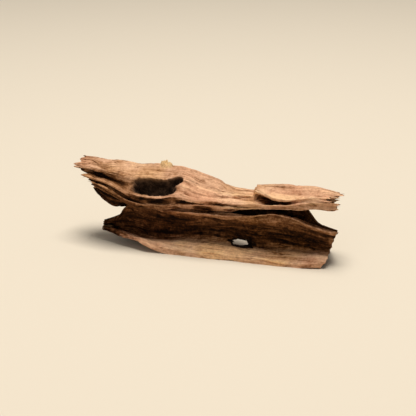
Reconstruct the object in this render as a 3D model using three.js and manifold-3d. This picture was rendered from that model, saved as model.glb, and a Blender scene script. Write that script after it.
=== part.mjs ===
// A weathered piece of driftwood for an aquarium, lying on its side: a hollowed lower limb with a
// ledge along its front, and an upper limb that grows out of it and parts from it at both ends.
//
// Millimetres, +Z up, the grain along X, the hollow towards -Y. The origin is on the ground under
// the middle of the piece's box.
//
// The wood is shaped by rails. A rail is a line that runs along the grain, such as the crest or the
// edge of the ledge, and is given by the few points where it changes direction. A limb's skin is
// stretched over its rails: along X each rail is a monotone cubic, and around the limb one closed
// curve passes through all the rails. The rails are measured from a mark on the ground under the
// hollow, and the finished piece is moved from there to its origin.
import * as THREE from "three";
import { mergeVertices } from "three/addons/utils/BufferGeometryUtils.js";
import Module from "manifold-3d";

// Driving sizes
const MIDDLE = { x: 1.2, y: -1 }; // middle of the piece's box, from the rails' mark
const GROUND = 0; // the wood is worn flat where it touches the ground
const FORK_GAP = 0.35; // clearance where the lower limb is let into the upper one
const END_REACH = 26; // how far from an end the skin still follows the ragged break
const WELD = 1e-4; // points closer than this are one point

// Coarse ridges along the grain. Each wave has so many lines around a limb, and wanders round it
// over its length; the knuckles are short swellings that cross the waves.
const WAVES = [
  { lines: 7, height: 0.5, wander: 1.6, length: 34, start: 0.8 },
  { lines: 12, height: 0.42, wander: 2.1, length: 27, start: 2.4 },
  { lines: 17, height: 0.3, wander: 1.8, length: 19, start: 4.1, fade: 41 },
];
const KNUCKLES = { height: 0.4, length: 5.2, twist: 3, fade: 23, counterTwist: 2 };

// Rails of the upper limb: [x, y, z] points from the left break to the right one.
const UPPER = {
  backEdge: [
    [-97, 9, 51], [-84, 14, 46], [-62, 20, 41], [-36, 26, 38], [-8, 27, 37], [12, 21, 40],
    [30, 14, 42], [52, 11, 44], [78, 8, 46], [103, 5, 49],
  ],
  backShoulder: [
    [-101, 8, 59], [-84, 12, 57], [-60, 17, 54], [-34, 20, 53], [-8, 19, 50], [14, 13, 46],
    [34, 8, 46], [44, 6.4, 47.8], [58, 5.2, 52.2], [76, 4, 54], [104, 2, 53],
  ],
  crest: [
    [-104, 2, 65.6], [-87, 4, 63.5], [-70, 4, 63.2], [-54, 4, 61.7], [-24, 5, 61.3],
    [-12, 4, 60.3], [0, 3, 57.5], [11, 1, 54.6], [19, 0, 51], [30, 0, 49.2], [41.5, -1, 49.6],
    [43.5, -6, 57.4], [59, -6, 57.8], [78, -6, 58.2], [93, -6, 57.6], [101, -6, 57],
    [109, -7, 54.4],
  ],
  upperLip: [
    [-107, -12, 61], [-97, -15, 60.6], [-86, -16, 59.6], [-75, -16, 58], [-66, -16, 56.4],
    [-57, -15, 55.6], [-39, -12, 56.2], [-18, -10, 57.4], [0, -12, 52.6], [20, -12, 48.8],
    [41.5, -12, 48.6], [43.5, -17, 55.6], [48, -18.6, 54.8], [54, -19.6, 52.8], [60, -20, 51.2],
    [67, -20, 50.8], [76, -20, 52.4], [86, -20, 54.6], [105, -18, 55.4],
  ],
  valley: [
    [-95, -10, 57.4], [-84, -11, 54.6], [-75, -13, 52.2], [-62, -16, 50], [-45, -18, 49.6],
    [-20, -18, 52.4], [0, -19, 48.8], [20, -18, 47], [41.5, -17, 46.8], [46, -12, 48.4],
    [58, -13, 47.4], [68, -15, 47.8], [78, -19, 50.4], [90, -20.6, 52.6], [107, -19.6, 53],
  ],
  midLip: [
    [-99, -18, 55.4], [-90, -20, 53.8], [-80, -21, 51.8], [-70, -23, 49.4], [-60, -25, 47],
    [-48, -26, 45], [-34, -27, 44.6], [-20, -26, 47.4], [-5, -26, 45.6], [11, -25, 46.6],
    [28, -24, 45.4], [45, -24, 46.8], [58, -24, 47.4], [67, -23.6, 48], [78, -23, 49.8],
    [92, -22, 51.6], [110, -21, 52.4],
  ],
  midSlot: [
    [-92, -14, 52.4], [-84, -17, 51], [-76, -20, 48.8], [-66, -23, 46], [-54, -25.4, 42.6],
    [-40, -26, 41.6], [-20, -25, 44.6], [-5, -23.6, 43], [11, -22.6, 44], [28, -22, 43],
    [45, -23, 44.6], [72, -23, 46.8], [104, -20, 49],
  ],
  frontRidge: [
    [-94, -17, 50.6], [-86, -21, 50], [-78, -24, 49], [-70, -26, 46.8], [-63, -27, 43.6],
    [-56, -27, 41], [-46, -27, 39.4], [-34, -26.6, 39], [-20, -26, 40.8], [-5, -25.4, 41.8],
    [11, -24.6, 42.4], [28, -23.8, 41.8], [45, -23, 43.4], [72, -22.6, 45.4], [109, -20, 47.2],
  ],
  rim: [
    [-92, -15, 47.6], [-86, -19, 47.8], [-78, -23, 46.4], [-70, -25, 44], [-63, -26, 40.8],
    [-55, -26, 37.4], [-46, -25.6, 35.8], [-34, -25, 35.6], [-24, -25, 36.8], [-12, -24.6, 38],
    [11, -24, 38.2], [24, -23, 38.6], [34, -21, 40.2], [45, -20, 42], [58, -20, 42.8],
    [72, -20, 44.2], [88, -19, 45.2], [106, -18, 46.4],
  ],
  underFront: [
    [-92, -10, 43.6], [-86, -12, 40.4], [-78, -14, 37.4], [-70, -15, 36], [-60, -14, 35],
    [-48, -13, 33], [-34, -13, 32], [-12, -13, 36.4], [11, -13, 37.8], [30, -12, 38.6],
    [50, -12, 41], [72, -12, 43], [104, -12, 44.6],
  ],
  underMid: [
    [-91, -7, 41.2], [-86, -9, 35.4], [-80, -10, 30.6], [-72, -10, 28.2], [-64, -8, 28.4],
    [-50, -4, 29], [-34, 0, 29], [-12, 2, 31], [11, 2, 35.4], [30, 1, 38], [50, -2, 40.4],
    [76, -4, 42.8], [103, -6, 45],
  ],
  underBack: [
    [-92, 4, 44.6], [-86, 5, 38.6], [-78, 6, 33.4], [-64, 9, 31.4], [-36, 14, 29.6],
    [-8, 15, 30.4], [12, 12, 35.4], [30, 8, 39], [52, 5, 42], [78, 3, 44], [102, 1, 46.6],
  ],
};

// Rails of the lower limb.
const LOWER = {
  lipEdge: [
    [-83, -18, 9.8], [-76, -20, 9.4], [-66, -24, 8.4], [-50, -29, 8.1], [-43, -30.4, 6],
    [-36, -30.6, 3.2], [-26, -30.6, 0.8], [-12, -30.4, -1.4], [16, -30.4, -1.6],
    [38, -30.4, -1.6], [60, -30.6, -1.4], [84, -30.2, -1.8], [97.6, -27.6, -1.4],
  ],
  lipTop: [
    [-83.4, -17, 11.4], [-76, -19, 11.6], [-66, -22.6, 10.6], [-50, -28, 10.8], [-43, -29.4, 9],
    [-36, -29.8, 6.6], [-26, -29.8, 4.8], [-12, -29.6, 3.6], [16, -29.6, 3.2], [38, -29.6, 3.4],
    [60, -30, 3.8], [84, -29.6, 3.4], [100.4, -27, 4],
  ],
  ledge: [
    [-84, -15, 12], [-76, -16, 11.2], [-66, -18, 9.6], [-50, -22, 8], [-36, -23, 6.4],
    [-12, -23, 7], [8, -23, 8.2], [24, -23, 8], [45, -23, 6.6], [62, -23.4, 6.2], [84, -23, 6.8],
    [103, -22.4, 7],
  ],
  corner: [
    [-84, -14, 12.4], [-76, -13, 11], [-66, -12, 9], [-55, -12.4, 7.2], [-44, -13, 6],
    [-34, -14, 5.8], [-21, -14, 7.6], [-7, -14, 10], [7, -14.4, 11], [21, -14.8, 9.6],
    [44, -15, 7.4], [61, -15, 7.2], [75, -14.6, 8.2], [102.4, -14.4, 9.4],
  ],
  panelLow: [
    [-84, -13.4, 13.2], [-74, -12, 15], [-64, -11, 14.4], [-44, -12.2, 11], [-20, -13.4, 12.4],
    [8, -13.6, 16], [24, -13.6, 15.8], [46, -13.6, 13.8], [76, -13.8, 13.4], [103.4, -14, 13],
  ],
  panelMid: [
    [-84, -13, 13.8], [-74, -12.4, 18], [-68, -12, 22], [-62, -12, 24], [-44, -14, 23.6],
    [-20, -17, 23.4], [10, -18, 25], [30, -18, 25.4], [52, -18.6, 26.4], [78, -18, 24],
    [105.5, -16, 20],
  ],
  panelTop: [
    [-84, -13, 14.8], [-76, -13, 18], [-70, -13, 22], [-67.4, -12.6, 27], [-62, -13, 32],
    [-44, -18, 33], [-28, -24, 34.2], [-4, -25, 35.6], [16, -25, 35.8], [35, -25, 36.6],
    [44, -25.4, 37.8], [50, -25.4, 39.2], [59, -25, 40.8], [69, -24.6, 39], [78, -24, 36.8],
    [86, -23, 33.8], [108.5, -20, 28],
  ],
  panelBack: [
    [-84, -11, 15], [-76, -10, 18.4], [-70, -9, 22], [-67, -8, 27.6], [-62, -9, 33],
    [-44, -13, 35], [-28, -20, 35.2], [-4, -22, 36.2], [16, -22, 36.4], [32, -21, 36],
    [42, -20, 35.4], [50, -20.4, 37.4], [60, -20, 39], [78, -19, 35.4], [88, -17, 31.6],
    [108.5, -15, 26.4],
  ],
  crackFloor: [
    [-83.6, -9, 14.8], [-76, -7, 18], [-70, -5, 21.6], [-66, -4, 28], [-60, -5, 35],
    [-44, -8, 36.4], [-28, -16, 36], [-12, -17.6, 36.4], [6, -17.6, 36.6], [22, -16, 35.6],
    [36, -11, 28], [60, -10, 28], [78, -10, 28], [90, -10, 26.4], [107.5, -9, 23.6],
  ],
  webTop: [
    [-83.4, -7.6, 14], [-76, -4, 17], [-70, -1, 20.4], [-64, 1, 29], [-56, 1, 36], [-40, 0, 38],
    [-20, -4, 41], [10, -4, 43.4], [40, -4, 44], [62, -3.6, 45], [76, -4, 44.4], [83, -4, 38.6],
    [91, -4, 28.6], [106.5, -4, 23.4],
  ],
  webBack: [
    [-83.2, -7.4, 12.6], [-76, -3, 15], [-68, 3, 19.6], [-60, 8, 30], [-40, 13, 33], [-8, 13, 33],
    [14, 8, 38], [34, 3, 40.4], [58, 2, 42], [74, 1, 42], [82, 1, 36], [91, 1, 26.8], [105, 0, 22],
  ],
  backShoulder: [
    [-83, -8, 11.6], [-76, -3, 12.6], [-68, 4, 15], [-56, 14, 22], [-36, 22.6, 28], [-8, 24, 28],
    [12, 17, 29], [30, 9, 31], [50, 8, 31], [74, 8, 29], [90, 6, 22], [102, 3, 19],
  ],
  backMid: [
    [-83, -10, 10.8], [-74, -5, 10.4], [-62, 6, 12], [-48, 20, 14], [-32, 27.6, 16], [-8, 28, 16],
    [10, 20, 19], [26, 9, 23], [44, 8.6, 22], [60, 14, 16], [78, 16, 13], [92, 12, 11],
    [101, 7, 11],
  ],
  backFoot: [
    [-83, -12, 10], [-72, -7, 8], [-60, 4, 5.6], [-48, 17, 2.6], [-36, 24, -1.8], [-8, 24.6, -1.8],
    [8, 17, 5], [22, 5, 15.4], [42, 4, 15.4], [56, 11, 3], [66, 16, -1.8], [84, 15, -1.8],
    [100, 8, 1],
  ],
  underBack: [
    [-83, -14, 9.6], [-72, -11, 7.2], [-60, -3, 4.6], [-48, 6, 1.6], [-34, 12, -1.6],
    [-10, 12, -1.6], [6, 8, 3.4], [20, -1, 10.4], [42, -2, 10], [56, 4, 3], [68, 8, -1.6],
    [84, 7, -1.6], [99, 1, 0.6],
  ],
  underMid: [
    [-83, -15.6, 9.4], [-72, -14.6, 7.4], [-60, -12, 4.2], [-48, -9, 2], [-34, -6, 1.4],
    [-10, -6, 2.4], [8, -8, 4.6], [24, -10.6, 4.8], [42, -10.6, 3.2], [58, -8, 2], [84, -8, 1.4],
    [98, -10, 1.2],
  ],
  underFront: [
    [-83, -17, 9.4], [-74, -18.6, 8.6], [-62, -20, 6.6], [-48, -22, 4.6], [-36, -22.6, 1.8],
    [-12, -22, 1], [16, -22, 1.6], [40, -22, 1], [62, -22.4, 0.8], [84, -22, 0.4], [98, -21, 0.6],
  ],
};

// Each limb's loop: over one side from edge to edge, and back along the other. `round` says how
// smoothly the skin passes a rail: 1 is a curve and 0 a crease.
const UPPER_LOOP = {
  near: [
    "backEdge", "backShoulder", "crest", "upperLip", "valley", "midLip", "midSlot", "frontRidge",
    "rim",
  ],
  far: ["rim", "underFront", "underMid", "underBack", "backEdge"],
  round: { crest: 0.7, upperLip: 0.4, midLip: 0.4, frontRidge: 0.5, rim: 0.4 },
};
const LOWER_LOOP = {
  near: [
    "lipEdge", "underFront", "underMid", "underBack", "backFoot", "backMid", "backShoulder",
    "webBack", "webTop",
  ],
  far: [
    "webTop", "crackFloor", "panelBack", "panelTop", "panelMid", "panelLow", "corner", "ledge",
    "lipTop", "lipEdge",
  ],
  round: { lipEdge: 0.4, lipTop: 0.5, corner: 0.3, panelTop: 0.4, panelBack: 0.7, webTop: 0.6 },
};

// How finely each limb is faceted: the points around its loop, the steps along it, and stations
// added where it changes at a stroke. The two hollows are how deep its broken ends are eaten in.
const UPPER_GRID = {
  around: 48,
  along: 44,
  added: [42, 43.5],
  capRows: 4,
  hollowLeft: 7,
  hollowRight: 5,
};
const LOWER_GRID = {
  around: 50,
  along: 34,
  added: [],
  capRows: 4,
  hollowLeft: 1,
  hollowRight: 3,
};

// The knot: a dark decayed pit in the upper face. Its long axis follows the grain.
const KNOT = {
  centre: new THREE.Vector3(-38.5, -17, 50),
  inward: new THREE.Vector3(0, 0.62, -0.78).normalize(),
  halfLength: 18,
  halfWidth: 7.6,
  depth: 13,
  border: [0.62, 1.06],
};
// The window: a hole worn right through the wall where the ledge meets the hollow.
const WINDOW = { centre: [32, -14.5, 9.8], half: [10.5, 14, 3.6], tilt: -0.32 };
// The nub: a torn lump of fresh fibre that stands on the crest behind the knot.
const NUB = { centre: [-35, 4, 62.4], half: [4.8, 3, 4] };
// The socket: a hollow in the right break of the upper limb, between its skin and its lower lip.
const SOCKET = { centre: [108, -15, 54], half: [10, 4.2, 1.8] };

const EGG_FACETS = [12, 8];

const BLEACHED_WOOD = { color: 0xb08a62, roughness: 0.85, metalness: 0 };
const HOLLOW_WOOD = { color: 0x7a5636, roughness: 0.88, metalness: 0 };

// Slopes of a monotone cubic through values v at places t, so that it never overshoots.
function slopes(t, v) {
  const n = t.length;
  const secant = t.slice(1).map((x, i) => (v[i + 1] - v[i]) / (x - t[i]));
  return t.map((_, i) => {
    if (i === 0) return secant[0];
    if (i === n - 1) return secant[n - 2];
    const [a, b] = [secant[i - 1], secant[i]];
    if (a * b <= 0) return 0;
    const [h, k] = [t[i] - t[i - 1], t[i + 1] - t[i]];
    return (3 * (h + k)) / ((2 * k + h) / a + (k + 2 * h) / b);
  });
}

// The cubic between two places, from its values and slopes at both.
function hermite(f, h, p0, p1, m0, m1) {
  const [f2, f3] = [f * f, f * f * f];
  return (
    (2 * f3 - 3 * f2 + 1) * p0 + (f3 - 2 * f2 + f) * h * m0 +
    (3 * f2 - 2 * f3) * p1 + (f3 - f2) * h * m1
  );
}

// A rail as a function of x that gives [x, y, z], level beyond its ends.
function rail(points) {
  const t = points.map((p) => p[0]);
  const sides = [1, 2].map((k) => {
    const v = points.map((p) => p[k]);
    return { v, m: slopes(t, v) };
  });
  const at = (x) => {
    const here = THREE.MathUtils.clamp(x, t[0], t[t.length - 1]);
    let i = 0;
    while (i < t.length - 2 && here > t[i + 1]) i += 1;
    const h = t[i + 1] - t[i];
    const f = (here - t[i]) / h;
    return [x, ...sides.map(({ v, m }) => hermite(f, h, v[i], v[i + 1], m[i], m[i + 1]))];
  };
  return { at, start: t[0], end: t[t.length - 1] };
}

// 1 at a broken end and 0 once END_REACH away from it.
const nearEnd = (distance) => 1 - THREE.MathUtils.smoothstep(distance, 0, END_REACH);

// Spreads even steps from 0 to 1 so that they lie closer together at both ends.
const closerAtEnds = (s) => 0.5 * s + 0.5 * (0.5 - 0.5 * Math.cos(Math.PI * s));

// Height of the coarse ridges at x and a share of a turn around the limb.
function ridges(x, turn) {
  const around = 2 * Math.PI * turn;
  const waves = WAVES.map(({ lines, height, wander, length, start, fade = Infinity }) => {
    const phase = lines * around + wander * Math.sin(x / length + start);
    return height * Math.sin(phase) * Math.cos(x / fade);
  });
  const { height, length, twist, fade, counterTwist } = KNUCKLES;
  const swelling = Math.sin(x / length + twist * around);
  const patches = Math.sin(x / fade - counterTwist * around);
  return waves.reduce((sum, wave) => sum + wave, height * swelling * patches);
}

// How far a point is sunk by the knot: full depth inside, rising steeply at the pit's border.
function sinkKnot(p) {
  const off = p.clone().sub(KNOT.centre);
  off.addScaledVector(KNOT.inward, -off.dot(KNOT.inward));
  const across = Math.hypot(off.y, off.z) / KNOT.halfWidth;
  const q = Math.hypot(off.x / KNOT.halfLength, across);
  return KNOT.depth * (1 - THREE.MathUtils.smoothstep(q, ...KNOT.border));
}

// The skin of a limb as an indexed geometry. `swell` pushes it outwards.
function limb(rails, loop, grid, { swell = 0, knot = false } = {}) {
  const lines = Object.fromEntries(Object.entries(rails).map(([k, v]) => [k, rail(v)]));
  const names = [...loop.near, ...loop.far.slice(1, -1)];
  const left = Math.min(...names.map((n) => lines[n].start));
  const right = Math.max(...names.map((n) => lines[n].end));
  const half = grid.around / 2;

  // The loop's points at one station, before the grain: the rails at x, sheared near the breaks.
  const knots = (s) => {
    const x = THREE.MathUtils.lerp(left, right, s);
    return names.map((name) => {
      const { at, start, end } = lines[name];
      const shift = (start - left) * nearEnd(x - left) + (end - right) * nearEnd(right - x);
      return new THREE.Vector3(...at(x + shift));
    });
  };

  // Each stretch between two rails gets at least one step, and the rest go where it is widest.
  const probes = [0.1, 0.3, 0.5, 0.7, 0.9].map(knots);
  const span = names.map((_, i) => {
    const j = (i + 1) % names.length;
    return probes.reduce((sum, k) => sum + k[i].distanceTo(k[j]), 0) / probes.length;
  });
  const shareOut = (first, count) => {
    const steps = new Array(count).fill(1);
    for (let spare = half - count; spare > 0; spare -= 1) {
      const gaps = steps.map((step, i) => span[first + i] / step);
      steps[gaps.indexOf(Math.max(...gaps))] += 1;
    }
    return steps;
  };
  const turn = loop.near.length - 1;
  const steps = [...shareOut(0, turn), ...shareOut(turn, loop.far.length - 1)];
  const places = steps.flatMap((count, i) =>
    Array.from({ length: count }, (_, step) => ({ i, f: step / count })),
  );

  // One closed curve through the rails, its slope at each rail eased by how round the rail is.
  const ring = (s) => {
    const k = knots(s);
    const n = names.length;
    const slope = k.map((p, i) => {
      const [before, after] = [(i + n - 1) % n, (i + 1) % n];
      const [h0, h1] = [span[before], span[i]];
      const back = p.clone().sub(k[before]).divideScalar(h0);
      const ahead = k[after].clone().sub(p).divideScalar(h1);
      const m = back.multiplyScalar(h1).addScaledVector(ahead, h0).divideScalar(h0 + h1);
      return m.multiplyScalar(loop.round[names[i]] ?? 1);
    });
    const bare = places.map(({ i, f }) => {
      const j = (i + 1) % n;
      const on = (c) => hermite(f, span[i], k[i][c], k[j][c], slope[i][c], slope[j][c]);
      return new THREE.Vector3(on("x"), on("y"), on("z"));
    });
    return bare.map((p, j) => {
      const before = bare[(j + bare.length - 1) % bare.length];
      const after = bare[(j + 1) % bare.length];
      const out = new THREE.Vector3(0, after.z - before.z, before.y - after.y).normalize();
      const moved = p.clone().addScaledVector(out, ridges(p.x, j / bare.length) + swell);
      if (knot && j < half) moved.addScaledVector(KNOT.inward, sinkKnot(p));
      moved.z = Math.max(moved.z, GROUND);
      return moved;
    });
  };

  const positions = [];
  const index = [];
  const add = (p) => positions.push(p.x, p.y, p.z) / 3 - 1;
  const quad = (a, b, c, d) => index.push(a, b, c, a, c, d);
  const even = Array.from({ length: grid.along + 1 }, (_, u) => closerAtEnds(u / grid.along));
  const added = grid.added.map((x) => (x - left) / (right - left));
  const rings = [...even, ...added].sort((a, b) => a - b).map(ring);
  const ids = rings.map((points) => points.map(add));
  const last = rings.length - 1;
  const n = grid.around;
  for (let u = 0; u < last; u += 1) {
    for (let j = 0; j < n; j += 1) {
      const k = (j + 1) % n;
      quad(ids[u][j], ids[u][k], ids[u + 1][k], ids[u + 1][j]);
    }
  }

  // A broken end: lines across the loop from one side to the other, hollowed towards the middle.
  const cap = (points, ring0, inward, flip) => {
    const rows = [];
    for (let j = 0; j <= half; j += 1) {
      const [a, b] = [j, (n - j) % n];
      const row = [ring0[a]];
      for (let r = 1; r < grid.capRows && a !== b; r += 1) {
        const t = r / grid.capRows;
        const p = points[a].clone().lerp(points[b], t);
        const edge = Math.sin(Math.PI * t) * Math.sin((Math.PI * j) / half);
        p.x += inward * Math.sqrt(Math.max(edge, 0));
        row.push(add(p));
      }
      row.push(ring0[b]);
      rows.push(row);
    }
    for (let j = 0; j < half; j += 1) {
      for (let r = 0; r < grid.capRows; r += 1) {
        const pick = (row) => row[Math.min(r, row.length - 1)];
        const next = (row) => row[Math.min(r + 1, row.length - 1)];
        const corners = [pick(rows[j]), next(rows[j]), next(rows[j + 1]), pick(rows[j + 1])];
        if (flip) corners.reverse();
        quad(...corners);
      }
    }
  };
  cap(rings[0], ids[0], grid.hollowLeft, false);
  cap(rings[last], ids[last], -grid.hollowRight, true);

  const made = new THREE.BufferGeometry();
  made.setAttribute("position", new THREE.Float32BufferAttribute(positions, 3));
  made.setIndex(index);
  return made;
}

const wasm = await Module();
wasm.setup();

// A closed geometry as a solid, with the triangles that have collapsed to a line left out.
function solid(geometry) {
  const bare = geometry.clone();
  bare.deleteAttribute("normal");
  bare.deleteAttribute("uv");
  const merged = mergeVertices(bare, WELD);
  const kept = [];
  for (let i = 0; i < merged.index.count; i += 3) {
    const [a, b, c] = [0, 1, 2].map((k) => merged.index.getX(i + k));
    if (a !== b && b !== c && c !== a) kept.push(a, b, c);
  }
  return new wasm.Manifold(
    new wasm.Mesh({
      numProp: 3,
      vertProperties: merged.getAttribute("position").array,
      triVerts: new Uint32Array(kept),
    }),
  );
}

// An egg at a place, turned about X. It is cut out of a limb or grown onto it.
function egg({ centre, half, tilt = 0 }) {
  const [around, rows] = EGG_FACETS;
  const made = new THREE.SphereGeometry(1, around, rows);
  made.scale(...half);
  made.rotateX(tilt);
  made.translate(...centre);
  return solid(made);
}

function mesh(name, made, look) {
  const { numProp, vertProperties, triVerts } = made.getMesh();
  const geometry = new THREE.BufferGeometry();
  geometry.setAttribute("position", new THREE.BufferAttribute(vertProperties, numProp));
  geometry.setIndex(new THREE.BufferAttribute(triVerts, 1));
  geometry.computeVertexNormals();
  const out = new THREE.Mesh(geometry, new THREE.MeshStandardMaterial(look));
  out.name = name;
  return out;
}

const upper = solid(limb(UPPER, UPPER_LOOP, UPPER_GRID, { knot: true }))
  .add(egg(NUB))
  .subtract(egg(SOCKET));
const clearance = solid(limb(UPPER, UPPER_LOOP, UPPER_GRID, { swell: FORK_GAP, knot: true }));
const lower = solid(limb(LOWER, LOWER_LOOP, LOWER_GRID)).subtract(egg(WINDOW)).subtract(clearance);

const driftwood = new THREE.Group();
driftwood.add(mesh("upper_limb", upper, BLEACHED_WOOD));
driftwood.add(mesh("lower_limb", lower, HOLLOW_WOOD));
driftwood.position.set(-MIDDLE.x, -MIDDLE.y, 0);

export default driftwood;
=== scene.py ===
# %% [markdown]
# # A weathered piece of driftwood
#
# The object is one grown piece of wood, bleached and eaten by water. It lies on its side: a hollowed
# lower limb with a ledge along its front, and an upper limb that grows out of it and overhangs it at
# both ends. This file builds the wood that is seen. The CAD model gives the solids that carry it, so
# each limb here is drawn over the same forms, only much finer.

from collections import namedtuple
from math import pi, radians

import bpy
import numpy as np
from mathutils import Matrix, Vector


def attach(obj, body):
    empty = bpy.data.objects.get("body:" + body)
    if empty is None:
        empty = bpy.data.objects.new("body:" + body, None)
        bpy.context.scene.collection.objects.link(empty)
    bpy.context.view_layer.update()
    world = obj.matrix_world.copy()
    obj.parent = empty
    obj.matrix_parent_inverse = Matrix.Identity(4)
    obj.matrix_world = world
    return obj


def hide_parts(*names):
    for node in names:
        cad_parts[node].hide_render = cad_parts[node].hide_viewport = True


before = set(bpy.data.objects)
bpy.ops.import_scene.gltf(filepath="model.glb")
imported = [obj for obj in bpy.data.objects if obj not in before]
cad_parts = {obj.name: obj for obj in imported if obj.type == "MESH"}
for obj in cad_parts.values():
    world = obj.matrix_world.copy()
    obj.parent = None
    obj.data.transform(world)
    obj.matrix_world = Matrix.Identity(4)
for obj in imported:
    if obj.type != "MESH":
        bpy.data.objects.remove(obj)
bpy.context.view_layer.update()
print("CAD nodes:", sorted(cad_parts))

# %% [markdown]
# ## The rails
#
# Wood like this has no straight line and no centre. It could be sculpted from a block, but its forms
# all run along the grain: the crest, the lips of the slots, the edge of the ledge. So each limb is
# drawn as rails, lines along the grain with a point wherever they change direction, and a skin is
# stretched over them. The rails are the part's own: millimetres from a mark on the ground under the
# hollow, +X along the grain and -Y towards the hollow.

# %% Rails of the upper limb
MM = 0.001
MARK = np.array([-1.2, 1.0, 0.0])  # from the rails' mark to the frame's origin, in mm

UPPER = {
    "back edge": [
        (-97, 9, 51), (-84, 14, 46), (-62, 20, 41), (-36, 26, 38), (-8, 27, 37), (12, 21, 40),
        (30, 14, 42), (52, 11, 44), (78, 8, 46), (103, 5, 49),
    ],
    "back shoulder": [
        (-101, 8, 59), (-84, 12, 57), (-60, 17, 54), (-34, 20, 53), (-8, 19, 50), (14, 13, 46),
        (34, 8, 46), (44, 6.4, 47.8), (58, 5.2, 52.2), (76, 4, 54), (104, 2, 53),
    ],
    "crest": [
        (-104, 2, 65.6), (-87, 4, 63.5), (-70, 4, 63.2), (-54, 4, 61.7), (-24, 5, 61.3),
        (-12, 4, 60.3), (0, 3, 57.5), (11, 1, 54.6), (19, 0, 51), (30, 0, 49.2), (41.5, -1, 49.6),
        (43.5, -6, 57.4), (59, -6, 57.8), (78, -6, 58.2), (93, -6, 57.6), (101, -6, 57),
        (109, -7, 54.4),
    ],
    "upper lip": [
        (-107, -12, 61), (-97, -15, 60.6), (-86, -16, 59.6), (-75, -16, 58), (-66, -16, 56.4),
        (-57, -15, 55.6), (-39, -12, 56.2), (-18, -10, 57.4), (0, -12, 52.6), (20, -12, 48.8),
        (41.5, -12, 48.6), (43.5, -17, 55.6), (48, -18.6, 54.8), (54, -19.6, 52.8),
        (60, -20, 51.2), (67, -20, 50.8), (76, -20, 52.4), (86, -20, 54.6), (105, -18, 55.4),
    ],
    "valley": [
        (-95, -10, 57.4), (-84, -11, 54.6), (-75, -13, 52.2), (-62, -16, 50), (-45, -18, 49.6),
        (-20, -18, 52.4), (0, -19, 48.8), (20, -18, 47), (41.5, -17, 46.8), (46, -12, 48.4),
        (58, -13, 47.4), (68, -15, 47.8), (78, -19, 50.4), (90, -20.6, 52.6), (107, -19.6, 53),
    ],
    "middle lip": [
        (-99, -18, 55.4), (-90, -20, 53.8), (-80, -21, 51.8), (-70, -23, 49.4), (-60, -25, 47),
        (-48, -26, 45), (-34, -27, 44.6), (-20, -26, 47.4), (-5, -26, 45.6), (11, -25, 46.6),
        (28, -24, 45.4), (45, -24, 46.8), (58, -24, 47.4), (67, -23.6, 48), (78, -23, 49.8),
        (92, -22, 51.6), (110, -21, 52.4),
    ],
    "middle slot": [
        (-92, -14, 52.4), (-84, -17, 51), (-76, -20, 48.8), (-66, -23, 46), (-54, -25.4, 42.6),
        (-40, -26, 41.6), (-20, -25, 44.6), (-5, -23.6, 43), (11, -22.6, 44), (28, -22, 43),
        (45, -23, 44.6), (72, -23, 46.8), (104, -20, 49),
    ],
    "front ridge": [
        (-94, -17, 50.6), (-86, -21, 50), (-78, -24, 49), (-70, -26, 46.8), (-63, -27, 43.6),
        (-56, -27, 41), (-46, -27, 39.4), (-34, -26.6, 39), (-20, -26, 40.8), (-5, -25.4, 41.8),
        (11, -24.6, 42.4), (28, -23.8, 41.8), (45, -23, 43.4), (72, -22.6, 45.4), (109, -20, 47.2),
    ],
    "rim": [
        (-92, -15, 47.6), (-86, -19, 47.8), (-78, -23, 46.4), (-70, -25, 44), (-63, -26, 40.8),
        (-55, -26, 37.4), (-46, -25.6, 35.8), (-34, -25, 35.6), (-24, -25, 36.8), (-12, -24.6, 38),
        (11, -24, 38.2), (24, -23, 38.6), (34, -21, 40.2), (45, -20, 42), (58, -20, 42.8),
        (72, -20, 44.2), (88, -19, 45.2), (106, -18, 46.4),
    ],
    "under front": [
        (-92, -10, 43.6), (-86, -12, 40.4), (-78, -14, 37.4), (-70, -15, 36), (-60, -14, 35),
        (-48, -13, 33), (-34, -13, 32), (-12, -13, 36.4), (11, -13, 37.8), (30, -12, 38.6),
        (50, -12, 41), (72, -12, 43), (104, -12, 44.6),
    ],
    "under middle": [
        (-91, -7, 41.2), (-86, -9, 35.4), (-80, -10, 30.6), (-72, -10, 28.2), (-64, -8, 28.4),
        (-50, -4, 29), (-34, 0, 29), (-12, 2, 31), (11, 2, 35.4), (30, 1, 38), (50, -2, 40.4),
        (76, -4, 42.8), (103, -6, 45),
    ],
    "under back": [
        (-92, 4, 44.6), (-86, 5, 38.6), (-78, 6, 33.4), (-64, 9, 31.4), (-36, 14, 29.6),
        (-8, 15, 30.4), (12, 12, 35.4), (30, 8, 39), (52, 5, 42), (78, 3, 44), (102, 1, 46.6),
    ],
}
print("upper limb:", len(UPPER), "rails,", sum(map(len, UPPER.values())), "points")

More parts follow.
